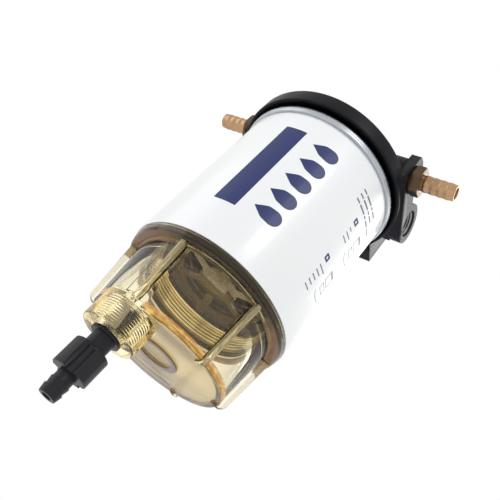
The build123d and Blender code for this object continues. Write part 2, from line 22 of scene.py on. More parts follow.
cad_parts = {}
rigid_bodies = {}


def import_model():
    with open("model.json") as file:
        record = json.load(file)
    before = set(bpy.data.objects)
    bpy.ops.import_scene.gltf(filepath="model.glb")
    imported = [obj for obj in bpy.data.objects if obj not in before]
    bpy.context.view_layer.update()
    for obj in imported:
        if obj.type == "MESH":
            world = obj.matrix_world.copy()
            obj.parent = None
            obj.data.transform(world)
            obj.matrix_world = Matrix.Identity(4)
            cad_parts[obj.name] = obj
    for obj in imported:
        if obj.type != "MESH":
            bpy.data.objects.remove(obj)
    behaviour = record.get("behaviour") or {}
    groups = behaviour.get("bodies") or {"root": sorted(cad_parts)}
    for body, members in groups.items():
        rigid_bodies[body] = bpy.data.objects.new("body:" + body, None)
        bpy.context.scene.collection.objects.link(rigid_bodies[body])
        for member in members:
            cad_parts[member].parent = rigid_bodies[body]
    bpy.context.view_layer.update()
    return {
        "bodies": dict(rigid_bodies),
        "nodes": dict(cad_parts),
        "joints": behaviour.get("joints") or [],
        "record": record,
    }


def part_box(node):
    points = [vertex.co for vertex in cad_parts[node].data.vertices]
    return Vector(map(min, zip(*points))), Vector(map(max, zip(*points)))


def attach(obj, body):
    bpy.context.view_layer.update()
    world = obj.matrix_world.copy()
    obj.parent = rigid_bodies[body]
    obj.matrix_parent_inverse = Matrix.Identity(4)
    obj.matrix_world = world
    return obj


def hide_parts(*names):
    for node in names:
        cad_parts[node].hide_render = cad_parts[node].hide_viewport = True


LOG = logging.getLogger("separator")

FULL_TURN = 2 * math.pi
# Metres in a millimetre.
MM = 0.001
# Points nearer than this, in millimetres, are one point.
TINY = 1e-4
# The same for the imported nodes, in metres.
TINY_PACKED = 1e-7
# A skew direction along which no two corners of a piece are at one height.
SKEW = Vector((1.0, 3.71, 11.93))
# How far joined solids reach into one another, and cutting tools past them, in millimetres.
OVERLAP = 0.5
CLEAR = 1.0

# Distance from the axis, height and rounding radius of an outline's corner.
Corner = tuple[float, float, float]
Point = tuple[float, float, float]
Colour = tuple[float, float, float, float]
Span = tuple[float, float]


# Shader building


class Signal:
    """One shader socket, whose arithmetic adds Math nodes."""

    def __init__(self, recipe: Recipe, socket: bpy.types.NodeSocket) -> None:
        """Keep the socket and the recipe it belongs to."""
        self.recipe = recipe
        self.socket = socket

    def __add__(self, other: Any) -> Signal:
        """Sum."""
        return self.recipe.math("ADD", self, other)

    def __sub__(self, other: Any) -> Signal:
        """Difference."""
        return self.recipe.math("SUBTRACT", self, other)

    def __rsub__(self, other: Any) -> Signal:
        """Difference from a number."""
        return self.recipe.math("SUBTRACT", other, self)

    def __mul__(self, other: Any) -> Signal:
        """Product."""
        return self.recipe.math("MULTIPLY", self, other)

    def __truediv__(self, other: Any) -> Signal:
        """Quotient."""
        return self.recipe.math("DIVIDE", self, other)

    __radd__ = __add__
    __rmul__ = __mul__

    def root(self) -> Signal:
        """Square root."""
        return self.recipe.math("SQRT", self)

    def size(self) -> Signal:
        """The value without its sign."""
        return self.recipe.math("ABSOLUTE", self)

    def fraction(self) -> Signal:
        """What is left over a whole number."""
        return self.recipe.math("FRACT", self)

    def least(self, other: Any) -> Signal:
        """The smaller of two values."""
        return self.recipe.math("MINIMUM", self, other)

    def most(self, other: Any) -> Signal:
        """The larger of two values."""
        return self.recipe.math("MAXIMUM", self, other)

    def ramp(self, low: float, high: float) -> Signal:
        """Smooth step from 0 at low to 1 at high."""
        inputs = {"Value": self, "From Min": low, "From Max": high}
        return self.recipe.node("ShaderNodeMapRange", {"interpolation_type": "SMOOTHSTEP"}, inputs)

    def past(self, edge: float, blur: float = 0.0004) -> Signal:
        """0 before an edge and 1 past it, over a short blur."""
        return self.ramp(edge, edge + blur)

    def before(self, edge: float, blur: float = 0.0004) -> Signal:
        """1 before an edge and 0 past it, over a short blur."""
        return 1.0 - self.past(edge, blur)


class Recipe:
    """The node tree of one material or of the world."""

    def __init__(self, owner: bpy.types.Material | bpy.types.World) -> None:
        """Empty a tree.

        Args:
            owner: The material or world that has the tree.
        """
        owner.use_nodes = True
        self.tree = owner.node_tree
        self.tree.nodes.clear()

    def node(
        self,
        kind: str,
        settings: Mapping[str, Any] | None = None,
        inputs: Mapping[Any, Any] | None = None,
        output: str | int = 0,
    ) -> Signal:
        """Add one node.

        Args:
            kind: The node's type.
            settings: Its properties.
            inputs: Numbers, colours or signals by socket name or index.
            output: The socket that is wanted.

        Returns:
            The wanted output.
        """
        made = self.tree.nodes.new(kind)
        for key, value in (settings or {}).items():
            setattr(made, key, value)
        for key, value in (inputs or {}).items():
            if isinstance(value, Signal):
                self.tree.links.new(value.socket, made.inputs[key])
            else:
                made.inputs[key].default_value = value
        return Signal(self, made.outputs[output])

    def math(self, operation: str, *terms: Any) -> Signal:
        """Add one Math node on numbers or signals, in socket order."""
        return self.node("ShaderNodeMath", {"operation": operation}, dict(enumerate(terms)))

    def place(self) -> Signal:
        """Object coordinates of the shaded point."""
        return self.node("ShaderNodeTexCoord", output="Object")

    def stretch(self, scale: Point) -> Signal:
        """Object coordinates scaled along each axis."""
        return self.node("ShaderNodeMapping", None, {"Vector": self.place(), "Scale": scale})

    def axes(self) -> tuple[Signal, ...]:
        """The three object coordinates as numbers."""
        place = {0: self.place()}
        return tuple(self.node("ShaderNodeSeparateXYZ", None, place, output=i) for i in range(3))

    def noise(self, scale: float | Point, detail: float = 2.0) -> Signal:
        """Noise on the object's coordinates.

        Args:
            scale: Cells per metre, one number or one along each axis.
            detail: Octaves.

        Returns:
            The noise, from 0 to 1.
        """
        if isinstance(scale, tuple):
            where, cells = self.stretch(scale), 1.0
        else:
            where, cells = self.place(), scale
        inputs = {"Vector": where, "Scale": cells, "Detail": detail}
        return self.node("ShaderNodeTexNoise", {"noise_dimensions": "3D"}, inputs)

    def blend(self, factor: Any, first: Any, second: Any) -> Signal:
        """Mix two colours."""
        inputs = {0: factor, 6: first, 7: second}
        return self.node("ShaderNodeMix", {"data_type": "RGBA"}, inputs, output=2)

    def mix(self, factor: Any, first: Signal, second: Signal) -> Signal:
        """Mix two shaders."""
        return self.node("ShaderNodeMixShader", None, {0: factor, 1: first, 2: second})

    def bump(self, height: Signal, distance: float, strength: float) -> Signal:
        """Surface normal from a height of 0 to 1 over a distance in metres."""
        inputs = {"Height": height, "Distance": distance, "Strength": strength}
        return self.node("ShaderNodeBump", None, inputs)

    def seen(self) -> Signal:
        """Tell rays that show a surface from rays that carry its light.

        Returns:
            1 for a camera, a mirror or a clear piece, and 0 for light.
        """
        names = ("Is Camera Ray", "Is Glossy Ray", "Is Transmission Ray")
        camera, mirror, clear = (self.node("ShaderNodeLightPath", output=name) for name in names)
        return camera.most(mirror).most(clear)

    def wire(self, shader: Signal, socket: str = "Surface", kind: str = "Material") -> None:
        """Wire a shader to the tree's output.

        Args:
            shader: The shader.
            socket: The output's socket.
            kind: Material or World, whose output it is.
        """
        wanted = f"ShaderNodeOutput{kind}"
        existing = [node for node in self.tree.nodes if node.bl_idname == wanted]
        target = existing[0] if existing else self.tree.nodes.new(wanted)
        self.tree.links.new(shader.socket, target.inputs[socket])


def grey(value: float) -> Colour:
    """A neutral colour."""
    return (value, value, value, 1.0)


def off_axis(across: Signal, along: Signal) -> Signal:
    """Distance from an axis, from the two offsets."""
    return (across * across + along * along).root()


# Finishes. Noise scales are cells per metre, and reliefs are metres.


@dataclass(frozen=True)
class Finish:
    """A finish: its name, the record's slot and the nodes that draw it.

    Roughness grows by unevenness where the pattern is 1. fixed holds the
    Principled sockets that keep one value.
    """

    name: ClassVar[str] = "finish"
    slot: ClassVar[str] = ""
    fixed: ClassVar[Mapping[str, Any]] = {}
    roughness: float = 0.5
    unevenness: float = 0.1
    relief: float = 0.00002
    strength: float = 0.4

    def material(self) -> bpy.types.Material:
        """Make the Blender material once.

        Returns:
            The material.
        """
        found = bpy.data.materials.get(self.name)
        if found:
            return found
        made = bpy.data.materials.new(self.name)
        self.draw(Recipe(made))
        return made

    def draw(self, recipe: Recipe) -> None:
        """Fill the material's tree."""
        raise NotImplementedError

    def skin(self, recipe: Recipe, colour: Any, pattern: Signal, height: Signal) -> Signal:
        """Add the Principled shader that most finishes end in.

        Args:
            recipe: The tree.
            colour: Base colour.
            pattern: Where the finish is rougher, from 0 to 1.
            height: Relief of the surface, from 0 to 1.

        Returns:
            The shader.
        """
        return recipe.node("ShaderNodeBsdfPrincipled", None, {
            "Base Color": colour,
            "Roughness": self.roughness + self.unevenness * pattern,
            "Normal": recipe.bump(height, self.relief, self.strength),
            **self.fixed,
        })


@dataclass(frozen=True)
class CastPaint(Finish):
    """Black paint over a cast and machined surface."""

    name: ClassVar[str] = "head_paint_black"
    slot: ClassVar[str] = "head_paint"
    fixed: ClassVar[Mapping[str, Any]] = {"Specular IOR Level": 0.1}
    roughness: float = 0.3
    unevenness: float = 0.16
    relief: float = 0.00008
    strength: float = 0.55
    dark: Colour = (0.008, 0.0085, 0.01, 1.0)
    worn: Colour = (0.014, 0.0145, 0.0165, 1.0)
    grain: float = 700.0
    peel: float = 2200.0
    peel_share: float = 0.3
    clouds: float = 45.0
    worn_span: Span = (0.4, 0.7)

    def draw(self, recipe: Recipe) -> None:
        """Draw cast grain under a slightly uneven satin coat.

        Args:
            recipe: The tree.
        """
        grain = recipe.noise(self.grain, 3.0)
        peel = recipe.noise(self.peel, 1.0)
        clouds = recipe.noise(self.clouds, 4.0)
        colour = recipe.blend(clouds.ramp(*self.worn_span), self.dark, self.worn)
        height = grain * (1.0 - self.peel_share) + peel * self.peel_share
        recipe.wire(self.skin(recipe, colour, clouds, height))


@dataclass(frozen=True)
class Mottled(Finish):
    """Two colours that a noise blends, with relief from a finer grain or the same noise."""

    first: Colour = grey(0.0)
    second: Colour = grey(1.0)
    mottle: float | Point = 100.0
    octaves: float = 3.0
    grain: float = 0.0
    grain_octaves: float = 2.0

    def draw(self, recipe: Recipe) -> None:
        """Draw the blend, its uneven gloss and the relief.

        Args:
            recipe: The tree.
        """
        mottle = recipe.noise(self.mottle, self.octaves)
        colour = recipe.blend(mottle, self.first, self.second)
        height = recipe.noise(self.grain, self.grain_octaves) if self.grain else mottle
        recipe.wire(self.skin(recipe, colour, mottle, height))


@dataclass(frozen=True)
class CanEnamel(Mottled):
    """White stoved enamel with faint orange peel."""

    name: ClassVar[str] = "can_enamel_white"
    slot: ClassVar[str] = "can_enamel"
    fixed: ClassVar[Mapping[str, Any]] = {"Coat Weight": 0.35, "Coat Roughness": 0.12}
    roughness: float = 0.3
    unevenness: float = 0.08
    relief: float = 0.00003
    strength: float = 0.35
    first: Colour = (0.845, 0.86, 0.865, 1.0)
    second: Colour = (0.82, 0.837, 0.845, 1.0)
    mottle: float | Point = 30.0
    grain: float = 900.0


@dataclass(frozen=True)
class NavyInk(Mottled):
    """Ink of the band and the large marks, with the slight mottle of a screen print."""

    name: ClassVar[str] = "print_navy"
    slot: ClassVar[str] = "can_enamel"
    fixed: ClassVar[Mapping[str, Any]] = {
        "Specular IOR Level": 0.25, "Coat Weight": 0.12, "Coat Roughness": 0.15,
    }
    roughness: float = 0.36
    relief: float = 0.00001
    strength: float = 0.3
    first: Colour = (0.016, 0.025, 0.115, 1.0)
    second: Colour = (0.024, 0.034, 0.14, 1.0)
    mottle: float | Point = 400.0
    grain: float = 2500.0
    grain_octaves: float = 1.0


@dataclass(frozen=True)
class GreyInk(NavyInk):
    """The same ink in fine lines, which look grey."""

    name: ClassVar[str] = "print_grey"
    first: Colour = (0.13, 0.14, 0.18, 1.0)
    second: Colour = (0.18, 0.19, 0.24, 1.0)


@dataclass(frozen=True)
class ZincSteel(Finish):
    """Bright plated sheet steel, drawn and rolled round the can's axis."""

    name: ClassVar[str] = "steel_zinc"
    slot: ClassVar[str] = "zinc_steel"
    fixed: ClassVar[Mapping[str, Any]] = {"Metallic": 1.0}
    roughness: float = 0.2
    unevenness: float = 0.2
    bright: Colour = (0.50, 0.53, 0.56, 1.0)
    dull: Colour = (0.35, 0.375, 0.40, 1.0)
    marks: Point = (60.0, 60.0, 4000.0)
    bloom: float = 120.0
    marks_share: float = 0.4

    def draw(self, recipe: Recipe) -> None:
        """Draw plate with drawing marks that run round the axis.

        Args:
            recipe: The tree.
        """
        marks = recipe.noise(self.marks, 3.0)
        bloom = recipe.noise(self.bloom, 4.0)
        colour = recipe.blend(bloom, self.bright, self.dull)
        recipe.wire(self.skin(recipe, colour, bloom + self.marks_share * marks, marks))


@dataclass(frozen=True)
class SpringSteel(Mottled):
    """Oil-tempered spring wire with fine die lines."""

    name: ClassVar[str] = "steel_spring"
    slot: ClassVar[str] = "spring_steel"
    fixed: ClassVar[Mapping[str, Any]] = {"Metallic": 1.0}
    roughness: float = 0.28
    unevenness: float = 0.15
    first: Colour = grey(0.12)
    second: Colour = grey(0.2)
    mottle: float | Point = 1500.0
    octaves: float = 2.0


@dataclass(frozen=True)
class BareCast(Mottled):
    """Machined aluminium, bare of paint, with tool marks."""

    name: ClassVar[str] = "aluminium_bare"
    slot: ClassVar[str] = "zinc_steel"
    fixed: ClassVar[Mapping[str, Any]] = {"Metallic": 1.0}
    roughness: float = 0.25
    unevenness: float = 0.2
    first: Colour = grey(0.3)
    second: Colour = grey(0.2)
    mottle: float | Point = 1800.0


@dataclass(frozen=True)
class ThreadedSteel(Finish):
    """Steel with a pale yellow plate and a thread in its bore, at the can's mouth.

    rise is the share of the pitch, in metres, over which a flank climbs.
    """

    name: ClassVar[str] = "steel_threaded"
    slot: ClassVar[str] = "zinc_steel"
    fixed: ClassVar[Mapping[str, Any]] = {"Metallic": 1.0}
    roughness: float = 0.22
    unevenness: float = 0.2
    relief: float = 0.0008
    strength: float = 1.0
    pale: Colour = (1.0, 0.90, 0.70, 1.0)
    deep: Colour = (0.55, 0.44, 0.28, 1.0)
    bands: Point = (48.0, 48.0, 12.0)
    deep_span: Span = (0.48, 0.66)
    pitch: float = 0.002
    rise: float = 0.72

    def draw(self, recipe: Recipe) -> None:
        """Draw satin plate, with thread flanks that mostly face down.

        Args:
            recipe: The tree.
        """
        bands = recipe.noise(self.bands)
        phase = (recipe.axes()[2] / self.pitch).fraction()
        flank = (phase / self.rise).least((1.0 - phase) / (1.0 - self.rise))
        colour = recipe.blend(bands.ramp(*self.deep_span), self.pale, self.deep)
        recipe.wire(self.skin(recipe, colour, bands, flank))


@dataclass(frozen=True)
class Brass(Finish):
    """Turned brass, a little tarnished, with painted shade that darkens the hexagon.

    The barbs' axis and the radius past which the hexagon starts are in metres.
    """

    name: ClassVar[str] = "brass_turned"
    slot: ClassVar[str] = "brass"
    fixed: ClassVar[Mapping[str, Any]] = {"Metallic": 1.0}
    roughness: float = 0.2
    unevenness: float = 0.18
    relief: float = 0.000025
    strength: float = 0.5
    clean: Colour = (0.44, 0.275, 0.155, 1.0)
    aged: Colour = (0.31, 0.19, 0.102, 1.0)
    # Painted shade: the hexagon's darker colour.
    hexagon: Colour = (0.10, 0.066, 0.038, 1.0)
    tool: Point = (5200.0, 40.0, 40.0)
    tarnish: float = 110.0
    aged_span: Span = (0.35, 0.75)
    tool_share: float = 1 / 3
    axis_y: float = -0.0575
    axis_z: float = -0.0211
    hexagon_from: float = 0.0051

    def draw(self, recipe: Recipe) -> None:
        """Draw turning marks round the X axis, soft tarnish and the hexagon's painted shade.

        Args:
            recipe: The tree.
        """
        tool = recipe.noise(self.tool)
        tarnish = recipe.noise(self.tarnish, 2.5)
        _, y, z = recipe.axes()
        away = off_axis(y - self.axis_y, z - self.axis_z)
        turned = recipe.blend(tarnish.ramp(*self.aged_span), self.clean, self.aged)
        # Painted shade darkens the brass past the hexagon's radius.
        colour = recipe.blend(away.past(self.hexagon_from), turned, self.hexagon)
        recipe.wire(self.skin(recipe, colour, tarnish + self.tool_share * tool, tool))


@dataclass(frozen=True)
class TrappedLight(Finish):
    """Matt colours painted on the clear plastic: painted light caught in its thick edges and ribs,
    and painted shade on the ring under the floor and where the flange meets the wall.
    """

    roughness: float = 0.12
    relief: float = 0.0002
    streaks: Point = (260.0, 260.0, 900.0)
    honey_span: Span = (0.4, 0.65)
    # How far a point must face the front before the flange root's painted shade deepens.
    front_shade_span: Span = (0.62, 0.86)
    # Painted light: amber and honey in the thick edges, and straw as a painted highlight on the
    # ribs.
    amber: Colour = (0.52, 0.24, 0.045, 1.0)
    honey: Colour = (0.85, 0.50, 0.10, 1.0)
    straw: Colour = (1.0, 0.84, 0.46, 1.0)
    # Painted shade: on the ring under the floor, and at the flange's root, darkest on the side that
    # faces the front.
    mauve: Colour = (0.14, 0.082, 0.05, 1.0)
    root_shade: Colour = (0.30, 0.14, 0.055, 1.0)
    front_shade: Colour = (0.035, 0.028, 0.02, 1.0)

    def glow(
        self, recipe: Recipe, ring: Signal, root: Signal, front: Signal, rib: Signal,
    ) -> Signal:
        """Add the matt shader of painted light and painted shade.

        Args:
            recipe: The tree.
            ring: 1 on the ring under the floor.
            root: 1 where the flange meets the wall.
            front: How far a point faces the bowl's front, from -1 to 1.
            rib: 1 on the ribs.

        Returns:
            The shader.
        """
        streaks = recipe.noise(self.streaks, 3.0)
        edge = recipe.blend(streaks.ramp(*self.honey_span), self.amber, self.honey)
        # Painted shade at the flange's root, darker where the surface faces the front.
        shade = recipe.blend(front.ramp(*self.front_shade_span), self.root_shade, self.front_shade)
        tone = recipe.blend(root, recipe.blend(ring, edge, self.mauve), shade)
        # The ribs' outer edges take the painted highlight.
        return self.skin(recipe, recipe.blend(rib, tone, self.straw), streaks, streaks)


@dataclass(frozen=True)
class ClearAmber(Finish):
    """Clear moulded plastic with a straw tint, deeper where it is seen along the sheet, and with
    painted shade and painted light by region.

    Its regions are told apart by their distance from the can's axis and from the
    neck's, by their height in the frame, and by their height over the sloping
    underside, all in metres. Shares say how much of the matt painted light and
    shade of TrappedLight each region takes.
    """

    name: ClassVar[str] = "plastic_clear_amber"
    slot: ClassVar[str] = "clear_amber"
    fixed: ClassVar[Mapping[str, Any]] = {
        "Transmission Weight": 1.0, "IOR": 1.5, "Specular Tint": (0.93, 0.79, 0.62, 1.0),
    }
    roughness: float = 0.012
    unevenness: float = 0.02
    relief: float = 0.00005
    strength: float = 0.25
    tint: Colour = (0.985, 0.91, 0.60, 1.0)
    density: float = 72.0
    flow: float = 60.0
    wall: Colour = (1.0, 0.975, 0.89, 1.0)
    # Painted shade: the underside, the middle of the floor, the ring and the flange take darker
    # tints than the wall.
    under: Colour = (0.64, 0.46, 0.185, 1.0)
    middle: Colour = (0.26, 0.15, 0.033, 1.0)
    boss: Colour = (0.14, 0.09, 0.055, 1.0)
    flange_shade: Colour = (0.36, 0.32, 0.26, 1.0)
    axis_y: float = -0.05
    neck_x: float = -0.006
    neck_y: float = -0.027
    neck_radius: float = 0.0141
    under_z: float = -0.1811
    slope_x: float = -0.010013
    slope_y: float = 0.056784
    under_radius: float = 0.0366
    under_rise: float = 0.00005
    under_blur: float = 0.00015
    middle_radius: float = 0.0085
    middle_blur: float = 0.001
    ring_radius: float = 0.0134
    ring_rise: float = -0.0006
    slab_radius: float = 0.0354
    slab_rise: float = 0.0002
    slab_top: float = 0.0036
    slab_blur: float = 0.0006
    front_x: float = 0.559
    front_y: float = -0.829
    rib_inner: float = 0.0379
    rib_outer: float = 0.0415
    rib_lean: float = 0.081
    rib_rise: float = -0.0004
    rib_blur: float = 0.0002
    flange_z: float = -0.1476
    flange_radius: float = 0.0440
    flange_rise: float = -0.0002
    root_radius: float = 0.0400
    root_half: float = 0.0003
    root_blur: float = 0.0003
    matt_under: float = 8.0
    slab_share: float = 0.8
    rib_share: float = 0.24
    ring_share: float = 0.88
    root_share: float = 0.6
    most_share: float = 0.9

    def draw(self, recipe: Recipe) -> None:
        """Draw a glass-like surface over an absorbing body, with painted shade by region.

        Args:
            recipe: The tree.
        """
        flow = recipe.noise(self.flow)
        x, y_row, z = recipe.axes()
        y = y_row - self.axis_y
        radius = off_axis(x, y)
        no_neck = off_axis(x - self.neck_x, y - self.neck_y).past(self.neck_radius)
        over = z - self.under_z - x * self.slope_x - y * self.slope_y
        over_flange = z - self.flange_z
        front = (x * self.front_x + y * self.front_y) / radius

        under = over.before(self.under_rise, self.under_blur)
        under = under * radius.before(self.under_radius) * no_neck
        ring = over.before(self.ring_rise) * radius.before(self.ring_radius)
        slab = over.past(self.slab_rise) * over.before(self.slab_top, self.slab_blur) * no_neck
        slab = slab * radius.past(self.slab_radius) * radius.before(self.rib_inner, self.rib_blur)
        rib = (radius - self.rib_lean * over_flange).past(self.rib_outer)
        rib = rib * over_flange.before(self.rib_rise)
        root = over_flange.size().before(self.root_half, self.root_blur)
        root = root * radius.past(self.root_radius)
        flange = over_flange.past(self.flange_rise) * radius.past(self.flange_radius)

        # Painted shade: darker tints on the underside, its middle, the flange and the ring.
        face = radius.past(self.middle_radius, self.middle_blur)
        colour = recipe.blend(under, self.wall, recipe.blend(face, self.middle, self.under))
        colour = recipe.blend(flange, colour, self.flange_shade)
        colour = recipe.blend(ring, colour, self.boss)
        clear = self.skin(recipe, colour, flow + self.matt_under * under, flow)
        # Matt painted light and shade, mixed in by region.
        trapped = TrappedLight().glow(recipe, ring, root, front, rib)
        share = self.slab_share * slab + self.rib_share * rib + self.ring_share * ring
        share = share + self.root_share * root * (1.0 - rib)
        recipe.wire(recipe.mix(share.least(self.most_share), clear, trapped))
        inside = {"Color": self.tint, "Density": self.density}
        recipe.wire(recipe.node("ShaderNodeVolumeAbsorption", None, inside), "Volume")


@dataclass(frozen=True)
class BlackPlastic(Mottled):
    """Black glass-filled moulding with a fine grain."""

    name: ClassVar[str] = "plastic_black"
    slot: ClassVar[str] = "black_plastic"
    fixed: ClassVar[Mapping[str, Any]] = {"Specular IOR Level": 0.2}
    roughness: float = 0.3
    unevenness: float = 0.14
    relief: float = 0.00004
    first: Colour = (0.0125, 0.0125, 0.0155, 1.0)
    second: Colour = (0.019, 0.0195, 0.023, 1.0)
    mottle: float | Point = 110.0
    grain: float = 2600.0


@dataclass(frozen=True)
class WetPlastic(Mottled):
    """The same moulding where fuel wets it, glossy, with soft waves."""

    name: ClassVar[str] = "plastic_black_wet"
    slot: ClassVar[str] = "black_plastic"
    fixed: ClassVar[Mapping[str, Any]] = {
        "Specular IOR Level": 0.9, "Specular Tint": (1.0, 0.86, 0.62, 1.0),
        "Coat Weight": 0.8, "Coat Roughness": 0.06, "Coat Tint": (1.0, 0.88, 0.68, 1.0),
    }
    roughness: float = 0.1
    unevenness: float = 0.12
    relief: float = 0.0004
    strength: float = 0.5
    first: Colour = (0.03, 0.024, 0.017, 1.0)
    second: Colour = (0.07, 0.056, 0.04, 1.0)
    mottle: float | Point = 45.0
    octaves: float = 2.0


@dataclass(frozen=True)
class Rubber(Mottled):
    """Matt black rubber, dusty, with a fine grain."""

    name: ClassVar[str] = "rubber_black"
    slot: ClassVar[str] = "rubber"
    roughness: float = 0.62
    unevenness: float = 0.2
    relief: float = 0.00004
    strength: float = 0.5
    first: Colour = grey(0.012)
    second: Colour = grey(0.03)
    mottle: float | Point = 300.0
    octaves: float = 4.0
    grain: float = 3500.0


@dataclass(frozen=True)
class FilterPaper(Mottled):
    """Resin-treated paper with crossed fibres."""

    name: ClassVar[str] = "paper_filter"
    slot: ClassVar[str] = "filter_paper"
    roughness: float = 0.8
    relief: float = 0.0001
    strength: float = 0.6
    first: Colour = (0.46, 0.33, 0.15, 1.0)
    second: Colour = (0.33, 0.22, 0.09, 1.0)
    mottle: float | Point = (900.0, 900.0, 3500.0)


@dataclass(frozen=True)
class StudioFloor(Finish):
    """Pale seamless floor, not seen from underneath."""

    name: ClassVar[str] = "floor_pale"
    paper: float = 0.8
    glow: float = 0.25

    def draw(self, recipe: Recipe) -> None:
        """Draw matt paper, white to cameras and mirrors, and nothing from below.

        Args:
            recipe: The tree.
        """
        paper = recipe.node("ShaderNodeBsdfDiffuse", None, {"Color": grey(self.paper)})
        light = {"Color": grey(1.0), "Strength": self.glow}
        glow = recipe.node("ShaderNodeEmission", None, light)
        lit = recipe.node("ShaderNodeAddShader", None, {0: paper, 1: glow})
        top = recipe.mix(recipe.seen(), paper, lit)
        back = recipe.node("ShaderNodeNewGeometry", output="Backfacing")
        recipe.wire(recipe.mix(back, top, recipe.node("ShaderNodeBsdfTransparent")))


# Mesh building


@dataclass(frozen=True)
class Layout:
    """Places and sizes that several sub-assemblies share, in millimetres."""

    can_radius: float = 47.0
    port_rise: float = 121.5
    port_face: float = 52.3
    port_radius: float = 7.4
    neck_x: float = -6.0
    neck_y: float = -27.0
    neck_end: float = -54.2

    def port(self, side: int, y: float, out: float = 0.0) -> Matrix:
        """The axis of a port, which points out to one side.

        Args:
            side: 1 for the right side and -1 for the left.
            y: The port's place along Y.
            out: How far out to the side the axis starts.

        Returns:
            The axis's frame.
        """
        turn = Matrix.Rotation(side * math.pi / 2, 4, "Y")
        return Matrix.Translation((side * out, y, self.port_rise)) @ turn

    def drain(self) -> Matrix:
        """The axis of the neck and the drain."""
        return Matrix.Translation((self.neck_x, self.neck_y, 0))


LAYOUT = Layout()


@dataclass(frozen=True)
class Datum:
    """The can's axis and lower edge in the part's frame, in metres."""

    x: float
    y: float
    z: float

    @classmethod
    def read(cls) -> Datum:
        """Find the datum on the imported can.

        Returns:
            The datum.
        """
        low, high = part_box("can_shell")
        middle = ((low[0] + high[0]) / 2, (low[1] + high[1]) / 2, low[2])
        return cls(*(round(value, 4) for value in middle))

    def matrix(self) -> Matrix:
        """Millimetres on the can's axis to metres in the frame."""
        return Matrix.Translation((self.x, self.y, self.z)) @ Matrix.Scale(MM, 4)


@dataclass(frozen=True)
class Thread:
    """The outline of a thread, with ridges that stand on a round wall."""

    root: float
    crest: float
    pitch: float
    rise: float
    land: float
    root_soft: float
    crest_soft: float = 0.1

    def ridges(self, start: float, stop: float) -> list[Corner]:
        """List the corners of the ridges that fit between two heights.

        Args:
            start: The first ridge's foot.
            stop: The height that no ridge reaches.

        Returns:
            The corners, going up.
        """
        corners: list[Corner] = []
        low = start
        while low + self.pitch < stop:
            corners += [
                (self.root, low, self.root_soft),
                (self.crest, low + self.rise, self.crest_soft),
                (self.crest, low + self.rise + self.land, self.crest_soft),
                (self.root, low + 2 * self.rise + self.land, self.root_soft),
            ]
            low += self.pitch
        return corners


